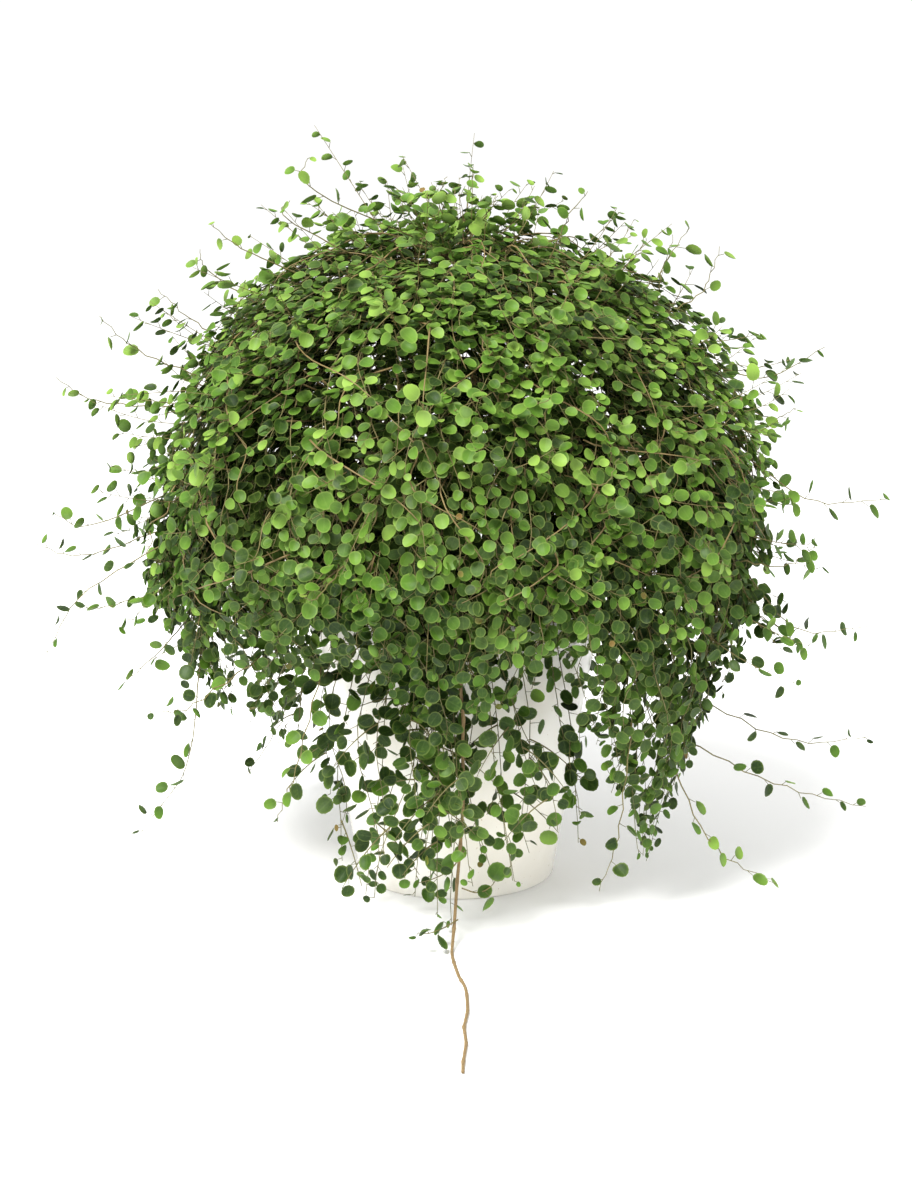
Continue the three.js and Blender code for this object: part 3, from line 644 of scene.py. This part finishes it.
# First: lowest and highest level of the feet, as shares of the spray's own; how they bunch; least
# and most run of levels; depth at the foot and on the way, and lift at the end, in millimetres.
# Then: millimetres between leaves, stem radius in millimetres, age, whether it is deep inside;
# drift along the way and stray past the sector, in degrees; how far past the skirt's edge it may
# hang, in levels; how much painted shade darkens its leaves.
KINDS = {
    "cover": (0.00, 1.00, 0.85, 0.13, 0.27, 12.0, 18.0, 8.0, 7.4, 0.42, 0.55, False, 6.0, 5.0, 0.05, 0.0),
    # painted shade: the leaves of under stems are darker, as if under the cover
    "under": (0.00, 0.95, 0.80, 0.14, 0.26, 16.0, 27.0, 2.0, 7.4, 0.42, 0.40, False, 6.0, 5.0, 0.05, 0.36),
    "deep": (0.00, 0.85, 0.75, 0.14, 0.26, 8.0, 40.0, 0.0, 6.8, 0.45, 0.15, True, 6.0, 5.0, 0.05, 0.0),
    "inner": (0.00, 0.80, 0.75, 0.14, 0.26, 8.0, 56.0, 0.0, 6.8, 0.45, 0.15, True, 6.0, 5.0, 0.05, 0.0),
    "bare": (0.10, 0.85, 0.90, 0.12, 0.24, 12.0, 9.0, -12.0, 21.0, 0.56, 1.00, False, 26.0, 12.0, 0.05, 0.0),
    "hanging": (0.80, 1.10, 1.00, 0.24, 0.38, 10.0, 20.0, 0.0, 10.0, 0.40, 0.25, False, 6.0, 5.0, 0.14, 0.0),
}


def stem_table(paths, outward, spacing, first, thick, old, deep=False, whip=True, shade=0.0):
    """Stems as one array for each property, with a row for each stem."""
    given = {"spacing": spacing, "first": first, "thick": thick, "old": old}
    given.update(deep=deep, whip=whip, shade=shade)
    table = {key: np.broadcast_to(value, len(paths)) for key, value in given.items()}
    return {"paths": paths, "outward": np.broadcast_to(outward, paths.shape), **table}


def sway(chance, count, s, slowest, fastest):
    """A sine wave for each stem along its way s, with its speed and its start by chance."""
    speed = chance.uniform(slowest, fastest, (count, 1))
    return np.sin(s * speed + chance.uniform(0, FULL_TURN, (count, 1)))


def stems_of_kind(kind, chance, count, middle, half, low, high):
    """Azimuth: a place in the sector, plus a drift and a wave along the way, kept within the stray.
    Level: a foot's level plus a run, cut off a little past the skirt's edge, and less far over the
    right arch. Depth: from that at the foot, which is less near the very top, to that on the way
    as a quarter sine, plus chance and a small wave, less the lift times the cube of the way, plus
    a little on the crown."""
    foot_low, foot_high, bunch, least, most, at_foot, on_way, lift = KINDS[kind][:8]
    spacing, thick, old, deep, drift, stray, past, shade = KINDS[kind][8:]
    start = low + (high - low) * (foot_low + (foot_high - foot_low) * chance.random(count) ** bunch)
    s = np.linspace(0, 1, RINGS)[None]
    wave = chance.uniform(1.0, 3.5, (count, 1)) * sway(chance, count, s, 4, 9)
    azimuth = middle + chance.uniform(-half, half, (count, 1))
    azimuth = azimuth + chance.normal(0, drift, (count, 1)) * s + wave
    azimuth = np.clip(azimuth, middle - half - stray, middle + half + stray)
    level = start[:, None] + chance.uniform(least, most, (count, 1)) * s
    level = np.minimum(level, 1.0 + past * (1.0 - bump(azimuth, *RIGHT_ARCH)))
    ripple = 2.5 * sway(chance, count, s, 8, 14)
    dive = at_foot * np.clip(start * 8, 0.1, 1)[:, None]
    dive = dive * (1 - np.sin(np.minimum(s * 1.6, 1) * math.pi / 2))
    depth = on_way + dive + chance.uniform(-4, 8, (count, 1)) + ripple
    depth = depth - lift * chance.uniform(0.3, 1.4, (count, 1)) * s**3 + 9.0 * crown_share(level)
    between = spacing * MM * chance.uniform(0.85, 1.2, count)
    thickness = thick * chance.uniform(0.8, 1.25, count)
    outward = mound_normal(azimuth, level)
    return stem_table(mound(azimuth, level, depth), outward, between, 0.04, thickness, old, deep, False, shade)


print("kinds of stem:", ", ".join(KINDS))

# %% [markdown]
# ## Sprigs and whips
# Short sprigs break the mound's outline all over, and the long whips listed above stand out of
# it. Neither follows the face, so each kind has a rule of its own.

# %% Sprigs, whips and how tables are joined
SHORTEST_SPRIG, MORE_SPRIG = 24, 44
NODE_STEP = 0.75


def sprigs_of(chance, count, middle, half, low, high):
    """A sprig starts under the face and heads outward, downhill and a little up, plus chance. Its
    way is that heading times its length, and a bend that grows with the square of the way. On the
    crown, whose levels start at 0, most sprigs stand near the top."""
    azimuth = middle + chance.uniform(-half, half, count)
    level = low + (high - low) * chance.random(count) ** (0.7 if low > 0 else 1.6)
    root, out = mound(azimuth, level, 26.0 + 9.0 * crown_share(level)), mound_normal(azimuth, level)
    downhill = unit(mound(azimuth, level + 0.02, 0.0) - mound(azimuth, level, 0.0))
    heading = unit(out * 0.75 + downhill * 0.7 + chance.normal(0, 0.35, (count, 3)) + UP * 0.25)
    reach = (SHORTEST_SPRIG + MORE_SPRIG * chance.random(count) ** 1.6)[:, None, None] * MM
    s = np.linspace(0, 1, RINGS)[None, :, None]
    bend = chance.normal(0, 0.16, (count, 1, 3)) + UP * 0.10
    paths = root[:, None] + heading[:, None] * s * reach + bend * s**2 * reach
    # painted light: a shade below 0 makes the sprigs' leaves lighter
    return stem_table(paths, out[:, None], chance.uniform(6.5, 9.0, count) * MM, 0.2, 0.36, 0.7, shade=-0.08)


def whips_of(chance, rows):
    """A whip runs from under the face through its middle place to its tip, and steps a little to
    and fro between its nodes, as the stem of this plant does where each leaf sits."""
    paths, outward = [], []
    s = np.linspace(0, 1, RINGS)[:, None]
    zigzag = (np.arange(RINGS) % 2 * 2 - 1)[:, None] * NODE_STEP * MM
    for a0, h0, a1, r1, h1, a2, r2, h2 in rows:
        path = smooth_path([mound(a0, float(level_of(a0, h0)), 22.0), at(a1, r1, h1), at(a2, r2, h2)], RINGS)
        across = unit(np.cross(path[-1] - path[0], AIM - path[0]))
        paths.append(path + zigzag * across + chance.normal(0, 0.5 * MM, (RINGS, 3)) * np.sin(s * math.pi))
        out = unit(at(a2, r2, h2) * [1, 1, 0] + np.array([0, -0.10, 0.07]))
        outward.append(np.repeat(out[None], RINGS, 0))
    # painted light: a shade below 0 makes the whips' leaves lighter
    return stem_table(np.array(paths), np.array(outward), 12.5 * MM, 0.2, 0.5, 0.5, shade=-0.14)


def together(tables):
    """The rows of several tables of stems, one after another."""
    tables = [table for table in tables if len(table["spacing"])]
    return {key: np.concatenate([table[key] for table in tables]) for key in tables[0]}


print("the longest sprig is", SHORTEST_SPRIG + MORE_SPRIG, "mm")

# %% [markdown]
# ## Dressing a spray
# With the paths known, leaves are set along them, and stalks join each leaf to its stem. Leaves
# get smaller and younger towards a stem's end. Deep leaves, and leaves low on the plant, are
# painted darker as shade. A spray becomes a piece of leaves, one of inner leaves if any of its
# stems are deep, and one of all its stems and stalks. All stand for the same CAD node.

# %% Leaves and stems of one spray
SMALLER_FROM, LESS_AT_TIP, YOUNG_FROM = 0.80, 0.55, 0.88
# the last is painted shade: the share of its lightness that a deep leaf keeps
MID_TONE, LEAST_TONE, DEEP_PAINTED_SHADE = 0.52, 0.21, 0.22
STALK_RADII, STALK_AGE, FOOT_AGE = np.array([0.27, 0.20]) * MM, 0.15, 0.9
LEAF_LOOKS = (("leaves", FULL_LEAF, LEAF), ("inner_leaves", PLAIN_LEAF, SHADED_LEAF))


def dress(node_name, chance, stems, size, feet=None):
    """Leaf length: a size by chance, less about half of it at the very end. Lightness of the green:
    chance for the stem and the leaf, lighter at a tip, and painted shade: darker by the kind's
    shade, darker low on the plant and darkest if deep. Age: 1 at a tip and falling off quickly.
    Stem radius: its thickness, less three fifths of it along the way."""
    paths = stems["paths"]
    row, order, root, along, share = on_paths(paths, stems["spacing"], stems["first"])
    nearest = np.clip((share * (paths.shape[1] - 1)).round().astype(int), 0, paths.shape[1] - 1)
    deep, whip = stems["deep"][row], stems["whip"][row]
    taper = 1.0 - LESS_AT_TIP * np.clip((share - SMALLER_FROM) / (1 - SMALLER_FROM), 0, 1) ** 1.5
    length = chance.uniform(*size, len(row)) * np.where(whip, 1.08, 1.0) * taper * MM
    length = length * chance.uniform(0.88, 1.08, len(paths))[row]
    # painted shade from the kind's shade; below 0 it is painted light
    shade_and_tone = MID_TONE - stems["shade"][row] + chance.normal(0.0, 0.12, len(paths))[row]
    shade_and_tone = shade_and_tone + chance.normal(0, 0.16, len(row)) + 0.3 * (1 - taper)
    # painted shade: leaves low on the plant, under the mound, are darker
    shade_and_tone = shade_and_tone - 0.26 * np.clip((0.31 - root[:, 2]) / 0.12, 0, 1)
    leaf = {
        "root": root, "along": along, "out": unit(stems["outward"][row, nearest]), "length": length,
        "side": np.where((order + row) % 2 == 0, 1.0, -1.0),
        # painted shade: deep leaves keep about a fifth of their lightness, as in the dark inside
        "shade_and_tone": np.where(deep, shade_and_tone * DEEP_PAINTED_SHADE, np.clip(shade_and_tone, LEAST_TONE, 1)),
        "age": np.clip((share - YOUNG_FROM) / (1 - YOUNG_FROM), 0, 1) * chance.uniform(0.2, 1.05, len(row)),
        "stalk": np.where(whip, 0.42, 0.30), "loose": np.where(whip, 0.60, 0.36),
    }
    base, stalk = np.empty_like(root), np.empty_like(root)
    for (label, pattern, skin), pick in zip(LEAF_LOOKS, (~deep, deep)):
        if pick.any():
            some, name = {key: values[pick] for key, values in leaf.items()}, f"{node_name}_{label}"
            base[pick], stalk[pick] = grow_leaves(name, node_name, pattern, skin, some, chance)
    s = np.linspace(0, 1, paths.shape[1])[None]
    parts = []
    for pick, sides in ((~stems["deep"], 5), (stems["deep"], 3)):
        if pick.any():
            radius = (1.0 - 0.6 * s) * stems["thick"][pick, None] * MM
            age = np.clip(stems["old"][pick, None] * (1.15 - 0.5 * s), 0, 1)
            parts.append(tubes(paths[pick], radius, sides, age))
    # a stalk ends a little inside its blade
    stalks = np.stack([root, base + stalk * length[:, None] * 0.05], 1)
    parts.append(tubes(stalks, STALK_RADII, 3, STALK_AGE))
    if feet is not None:
        parts.append(tubes(*feet, 6, FOOT_AGE))
    points, faces, marks = zip(*parts)
    before = np.cumsum([0] + [len(p) for p in points])
    faces = np.concatenate([f + done for f, done in zip(faces, before)])
    wood = piece(node_name + "_stems", np.concatenate(points), faces, WIRY, [node_name],
                 {"stem_place": np.concatenate(marks)})
    TALLY["triangles"] += len(wood.data.polygons)


def feet_of(chance, azimuth, root_radius, level, count):
    """The bundle that comes up from the soil: each stem goes straight up out of it, leans out
    under the dome and ends under the face at a level of its own."""
    bundle, thick = [], []
    for k in range(count):
        a = azimuth + chance.uniform(-6, 6)
        end_azimuth, end_level = azimuth + chance.uniform(-15, 15), level + chance.uniform(-0.08, 0.2)
        foot = at(a, root_radius + chance.uniform(-6, 6), 166.0)
        neck = at(a, root_radius + chance.uniform(0, 10), 205.0 + chance.uniform(0, 20))
        goal = mound(end_azimuth, end_level, 26.0)
        bow = (neck + goal) / 2 + UP * 0.03 + chance.normal(0, 4 * MM, 3)
        bundle.append(smooth_path([foot, neck, bow, goal], 12))
        thick.append(np.linspace(1.1, 0.55, 12) * MM * chance.uniform(0.75, 1.2))
    return np.stack(bundle), np.stack(thick)


print("leaves get smaller from", SMALLER_FROM, "of the way along a stem")

# %% [markdown]
# ## The crown and the drapes
# Five sprays make the crown and ten the drapes under it, as in the CAD part. Each gets the shoots
# that leave the mound in its sector. The drapes also have stems that hang free: most of them at
# the right, where the photo shows a lobe that reaches low, and none over the arch at the left.

# %% Dress all fifteen sprays
CROWN_COUNTS = {"cover": 30, "under": 16, "deep": 26, "inner": 14, "bare": 6}
DRAPE_COUNTS = {"cover": 46, "under": 26, "deep": 50, "inner": 30, "bare": 7}
HANGING = [6, 34, 26, 9, 9, 9, 9, 9, 9, 0]


def spray(chance, crown, middle, half, low, high, counts, sprigs):
    """All stems of one spray: each kind by its count, its sprigs, and the whips of the shoots of
    its tier whose foot lies within the sector."""
    turn_off = np.abs((SHOOTS[:, 0] - middle + 180) % 360 - 180)
    rows = SHOOTS[((shoot_level < CROWN_LEVEL) == crown) & (turn_off <= half)]
    tables = [stems_of_kind(kind, chance, count, middle, half, low, high) for kind, count in counts.items()]
    tables.append(sprigs_of(chance, sprigs, middle, half, low, high))
    return together(tables + [whips_of(chance, rows)])


for k in range(5):
    middle, chance = 12 + 72 * k, np.random.default_rng(100 + k)
    stems = spray(chance, True, middle, 36, 0.0, 0.22, CROWN_COUNTS, 22)
    dress(f"crown_spray_{k + 1}", chance, stems, (7.2, 9.7), feet_of(chance, middle, 20, 0.12, 5))
for k in range(10):
    middle, chance = 36 * k, np.random.default_rng(200 + k)
    stems = spray(chance, False, middle, 18, 0.20, 0.80, {**DRAPE_COUNTS, "hanging": HANGING[k]}, 34)
    dress(f"drape_spray_{k + 1}", chance, stems, (7.5, 10.2), feet_of(chance, middle, 50, 0.42, 6))
print(TALLY)

# %% [markdown]
# ## The curtain
# From the lip of the pot, fourteen bundles of stems hang almost to the table. In front they make
# the tongue of leaves that hides the pot, so there a bundle has up to eight strands, and one or
# two where the photo shows an arch. Each strand bears two small branches. Their leaves are the
# largest and roundest of the plant, because they hang freely.

# %% Trailing stems
STEPS_DOWN = 26
# each bundle's azimuth in degrees, the height of its tip in millimetres and its strands
CURTAIN = [(-41, 77, 1), (-31, 44, 2), (-22, 14, 2), (-12, 26, 8), (-4, 9, 8), (10, 34, 5), (20, 44, 1),
           (34, 52, 2), (84, 96, 4), (128, 54, 4), (166, 88, 4), (-156, 60, 4), (-112, 84, 4), (-66, 92, 3)]
# each strand: turned aside by degrees, further out and ending higher by millimetres
STRANDS = [(0.0, 0.0, 0.0), (-5.0, 5.0, 22.0), (5.5, 8.0, 40.0), (2.5, 14.0, 62.0),
           (-3.0, 22.0, 12.0), (4.5, 25.0, 36.0), (-7.0, 16.0, 54.0), (1.5, 28.0, 70.0)]


def curtain_path(chance, number, azimuth, tip, aside, away, longer):
    """Up out of the soil, over the rim, and down in a hang that sways by a sine. Below the rim two
    waves and a sum of small chance steps make it wander."""
    swerve = 6.0 * math.sin(math.radians(3 * azimuth) + 1.0)
    knots = [at(azimuth, 74, 166), at(azimuth, 75, 178), at(azimuth, 89 + away, 206)]
    knots.append(at(azimuth + aside * 0.3, 106 + away, 204))
    for share, radius in ((0.0, 115), (0.34, 119), (0.67, 122), (1.0, 124 + (number % 3) * 5)):
        height = 182.0 + (tip + longer - 182.0) * share
        turned_to = azimuth + swerve * share + aside * (0.4 + 0.6 * share)
        knots.append(at(turned_to, radius + away * (0.6 + share), height))
    way = np.linspace(0, 1, STEPS_DOWN)[:, None]
    swing = chance.normal(0, 1, (2, 3)) * [1.0, 0.5, 0.15]
    wander = swing[:1] * np.sin(way * 11) + swing[1:] * np.cos(way * 7 + azimuth)
    wander = wander * 6.5 + np.cumsum(chance.normal(0, 0.6, (STEPS_DOWN, 3)), 0)
    return smooth_path(knots, STEPS_DOWN) + wander * MM * np.clip(way * 2 - 0.7, 0, 1)


def branches_of(chance, paths, outward, count):
    """A branch leaves a strand somewhere below its first third. It heads to one side, outward and
    a little down, and droops with the square of the way."""
    which, place = chance.integers(0, len(paths), count), chance.integers(11, 24, count)
    aside = np.cross(outward, [0.0, 0.0, 1.0])
    heading = aside * chance.choice([-1.0, 1.0], (count, 1)) * 0.8 + outward * 0.35
    heading = unit(heading + chance.normal(0, 0.3, (count, 3)) - [0, 0, 0.45])
    s = np.linspace(0, 1, STEPS_DOWN)[None, :, None]
    reach = chance.uniform(18, 40, (count, 1, 1)) * MM
    return paths[which, place][:, None] + (heading[:, None] * s - UP * 0.35 * s**2) * reach


for number, (azimuth, tip, strands) in enumerate(CURTAIN):
    chance = np.random.default_rng(400 + number)
    paths = np.stack([curtain_path(chance, number, azimuth, tip, *strand) for strand in STRANDS[:strands]])
    outward = unit(at(azimuth, 100, 12))
    branches = branches_of(chance, paths, outward, 2 * strands)
    first = np.repeat([0.36, 0.1], [strands, 2 * strands])
    stems = stem_table(np.concatenate([paths, branches]), outward, 10.0 * MM, first, 0.55, 0.35)
    dress(f"trailing_stem_{number + 1}", chance, stems, (8.6, 11.6))
print(TALLY)

# %% [markdown]
# ## The pot
# The pot is a turned form, so it is one profile spun round its axis. The profile follows the
# CAD part: a foot, a wall that widens, a plain band at the rim, the lip, the inside and the
# floor. Four drain holes are cut through the floor.

# %% Turn the pot
def turned(profile, steps):
    """A point of the form is a point of the profile at a turn round the axis. The profile is
    closed, so the form has no ends."""
    count = len(profile)
    t = np.arange(steps) * 360.0 / steps
    points = at(t[:, None], profile[None, :, 0], profile[None, :, 1]).reshape(-1, 3)
    k, j = np.meshgrid(np.arange(steps), np.arange(count), indexing="ij")
    here, following = k * count, (k + 1) % steps * count
    after = (j + 1) % count
    return points, two_triangles(here + j, here + after, following + j, following + after)


def rounded(corners, cut):
    """Each corner becomes four points of a curve that starts and ends the cut away from it."""
    corners = np.asarray(corners, float)
    before = unit(np.roll(corners, 1, 0) - corners)
    after = unit(np.roll(corners, -1, 0) - corners)
    s = np.linspace(0, 1, 4)[None, :, None]
    cut = np.asarray(cut, float)[:, None, None]
    start, end = corners[:, None] + before[:, None] * cut, corners[:, None] + after[:, None] * cut
    return ((1 - s) ** 2 * start + 2 * s * (1 - s) * corners[:, None] + s**2 * end).reshape(-1, 2)


# radius and height of each corner of the profile, and how far it is rounded, in millimetres
wall = [(12, 0), (66, 0), (94, 168), (97, 170.5), (97, 190), (88, 190), (88, 169.5), (61.4, 8), (12, 8)]
profile = rounded(wall, [0.4, 1.6, 1.0, 0.8, 1.8, 1.8, 0.6, 3.0, 0.4])
points, faces = turned(profile[::-1], 96)
shell = bpy.data.meshes.new("pot_shell")
shell.from_pydata(points.tolist(), [], faces[:, ::-1].tolist())
print("pot shell:", len(points), "points")

# %% [markdown]
# The drain holes are cut with Blender's Boolean modifier and four short bars. The result is kept
# as a plain mesh, so nothing of the bars stays in the scene.

# %% Cut the drain holes
def bar(x, y, radius, low, high, sides=24):
    """A closed bar: a ring of points at each end, its wall and two flat ends."""
    t = np.arange(sides) * 2 * math.pi / sides
    ring = x + radius * np.cos(t), y + radius * np.sin(t)
    ends = [np.stack([*ring, np.full(sides, height)], 1) for height in (low, high)]
    j = np.arange(sides)
    walls = np.stack([j, (j + 1) % sides, (j + 1) % sides + sides, j + sides], 1).tolist()
    return np.concatenate(ends).tolist(), walls + [j[::-1].tolist(), (j + sides).tolist()]


holes = bpy.data.meshes.new("drill")
corners, sides = [], []
for azimuth in (45, 135, 225, 315):
    x, y, _ = at(azimuth, 34.0, 0.0)
    more, quads = bar(x, y, 5 * MM, -10 * MM, 20 * MM)
    sides += [[v + len(corners) for v in quad] for quad in quads]
    corners += more
holes.from_pydata(corners, [], sides)
drill = bpy.data.objects.new("drill", holes)
blank = bpy.data.objects.new("pot_blank", shell)
for made in (drill, blank):
    bpy.context.scene.collection.objects.link(made)
cut = blank.modifiers.new("drain", "BOOLEAN")
cut.operation, cut.object, cut.solver = "DIFFERENCE", drill, "EXACT"
cut_mesh = bpy.data.meshes.new_from_object(blank.evaluated_get(bpy.context.evaluated_depsgraph_get()))
for made in (drill, blank):
    bpy.data.objects.remove(made)
cut_mesh.name = "glazed_pot"
cut_mesh.materials.clear()
cut_mesh.materials.append(GLAZE)
cut_mesh.shade_smooth()
cut_mesh.set_sharp_from_angle(angle=math.radians(40))
pot = bpy.data.objects.new("glazed_pot", cut_mesh)
bpy.context.scene.collection.objects.link(pot)
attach(pot, "root")
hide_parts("pot")
print("pot faces after the cut:", len(cut_mesh.polygons))

# %% [markdown]
# ## The soil
# The potting mix is a disc whose top is crumbly. The crumbs are too small and too many to
# place one by one, so the disc's top is a fine polar grid and a few waves of chance raise and
# lower it. Its sides go down along the pot's wall and its underside is flat on the floor.

# %% Heap the soil
chance = np.random.default_rng(7)
LOOPS, STEPS = 26, 120
SOIL_RADIUS, SOIL_TOP, FLOOR_RADIUS, FLOOR_TOP = 86.6, 170.6, 61.0, 8.6
reach = np.linspace(0, 1, LOOPS + 1)[1:]
t = np.arange(STEPS) * 360.0 / STEPS
phase = chance.uniform(0, FULL_TURN, (24, 3))
wave = chance.normal(0, 1, (24, 2)) * np.repeat([30.0, 90.0, 190.0], 8)[:, None]
flat_x, flat_y = reach[:, None] * np.sin(np.radians(t)), reach[:, None] * np.cos(np.radians(t))
lumps = sum(
    np.sin(flat_x * w[0] * 0.35 + flat_y * w[1] * 0.35 + p[0]) * size
    for w, p, size in zip(wave, phase, np.repeat([0.55, 0.35, 0.3], 8))
)
lumps = (lumps + chance.normal(0, 0.35, lumps.shape)) * np.clip((1 - reach) * 8, 0, 1)[:, None]
top = at(t[None], SOIL_RADIUS * reach[:, None], SOIL_TOP + lumps - 1.2 * reach[:, None] ** 6)
low_ring = at(t, FLOOR_RADIUS, FLOOR_TOP)
points = np.concatenate([top.reshape(-1, 3), low_ring, at(0.0, 0.0, [SOIL_TOP]), at(0.0, 0.0, [FLOOR_TOP])])
k, j = np.meshgrid(np.arange(LOOPS), np.arange(STEPS), indexing="ij")
a, b = k * STEPS + j, k * STEPS + (j + 1) % STEPS
j, foot = np.arange(STEPS), LOOPS * STEPS
middle = foot + STEPS
faces = np.concatenate([
    two_triangles(a, b, a + STEPS, b + STEPS),
    fan(middle, j, (j + 1) % STEPS),
    fan(middle + 1, foot + (j + 1) % STEPS, foot + j),
])
piece("potting_soil", points, faces, PEAT, ["soil"])
print("soil:", len(faces), "triangles")

# %% [markdown]
# ## The bare runner
# The oldest runner has lost its leaves. It comes out of the foliage in front, hangs to the table
# and lies on it towards the viewer. It kinks at each node, where it is a little swollen, and its
# bark is tan. A few leaves on three small side branches are left where it nears the table.

# %% Draw the runner
RUNNER = [[3, 62, 166], [3, 63, 178], [2.5, 88, 214], [2, 118, 214], [1.5, 138, 176], [1.8, 143, 110],
          [0.8, 145, 52], [-0.2, 147, 18], [-0.8, 160, 3.6], [-0.7, 176, 1.7], [0.4, 205, 1.7],
          [1.4, 232, 1.7], [1, 292, 1.7], [0.6, 349.5, 1.7]]
chance = np.random.default_rng(31)
line = smooth_path([at(*row) for row in RUNNER], 260)
gone = np.concatenate([[0], np.cumsum(np.linalg.norm(np.diff(line, axis=0), axis=1))]) / MM
knot_places = np.cumsum(chance.uniform(20, 36, 24))
knot_places = knot_places[knot_places < gone[-1] - 6]
kinks = chance.normal(0, 0.55, (len(knot_places) + 2, 3)) * [1.0, 0.9, 0.0]
kinks[0] = kinks[-1] = 0
beat = np.concatenate([[0], knot_places, [gone[-1]]])
line = line + np.stack([np.interp(gone, beat, kinks[:, axis]) for axis in range(3)], 1) * MM
swell = np.exp(-(((gone[:, None] - knot_places[None]) / 1.5) ** 2)).sum(1)
radius = (1.12 - 0.15 * gone / gone[-1] + 0.35 * swell + chance.normal(0, 0.03, len(gone))) * MM
points, faces, marks = tubes(line[None], radius, 10, FOOT_AGE)
points[:, 2] = np.maximum(points[:, 2], 0.25 * MM)
piece("runner_wood", points, faces, BARK, ["woody_runner"], {"stem_place": marks})

low = [at(2, 145, 60), at(-1, 150, 50), at(-5, 152, 44), at(-9, 154, 41)]
side = [at(1.4, 146.5, 36), at(5, 150, 34), at(8, 152, 38), at(10, 153, 46)]
last = [at(0.5, 148, 16), at(-3, 156, 13), at(-6, 163, 12), at(-8, 168, 14)]
paths = np.stack([smooth_path(knots, 12) for knots in (low, side, last)])
stems = stem_table(paths, unit(at(0, 100, 10)), 8.0 * MM, 0.1, 0.5, 0.6)
dress("woody_runner", chance, stems, (9.0, 11.5))
print("runner: %.0f mm long," % gone[-1], len(knot_places), "nodes")

# %% [markdown]
# ## Floor and light
# The photograph is a cut-out on white. The stage is one wide pale floor under a pale sky, so the
# plant stands in plain soft studio light. A large soft lamp above and to the left gives the
# leaves their gentle shine, and a weaker one fills from the right.

# %% Floor, sky and lamps
def floor_paint():
    """A matt near-white, with a very faint unevenness."""
    made, tree, skin, _ = new_material("pale_floor")
    drift = node(tree, "TexNoise", Vector=(node(tree, "TexCoord"), "Object"), Scale=1.5)
    paint = node(tree, "Mix", MIX_COLOURS, n0=(drift, 0), n6=colour("#FBFBFA"), n7=colour("#FDFDFC"))
    wire(tree, skin, Base_Color=(paint, 2), Roughness=0.9, Specular_IOR_Level=0.1)
    return made


ground = bpy.data.meshes.new("floor")
ground.from_pydata([(-60, -60, 0), (60, -60, 0), (60, 60, 0), (-60, 60, 0)], [], [(0, 1, 2, 3)])
ground.materials.append(floor_paint())
floor = bpy.data.objects.new("floor", ground)
bpy.context.scene.collection.objects.link(floor)
floor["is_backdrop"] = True

sky = bpy.data.worlds.new("studio")
sky.use_nodes = True
sky.node_tree.nodes["Background"].inputs["Color"].default_value = colour("#FFFFFF")
sky.node_tree.nodes["Background"].inputs["Strength"].default_value = 1.06
bpy.context.scene.world = sky
bpy.context.scene.view_settings.view_transform = "Standard"


def lamp(name, place, target, size, power):
    """A round lamp that faces its target."""
    made = bpy.data.lights.new(name, "AREA")
    made.shape, made.size, made.energy = "DISK", size, power
    held = bpy.data.objects.new(name, made)
    bpy.context.scene.collection.objects.link(held)
    held.location = place
    away = np.array(place) - np.array(target)
    held.rotation_euler = (math.acos(away[2] / np.linalg.norm(away)), 0.0, math.atan2(away[0], -away[1]))


lamp("key", (-0.9, -1.6, 2.7), (0, 0, 0.25), 1.2, 175.0)
lamp("fill", (2.2, -1.2, 1.2), (0, 0, 0.25), 1.6, 8.0)

# %% [markdown]
# ## Measure and finish
# The box of the dressed part is measured and printed. The dressed part must stay in the CAD
# part's box.

# %% Sizes and finish
low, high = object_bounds()
print("visual box in metres:", [round(v, 3) for v in low], [round(v, 3) for v in high], TALLY)
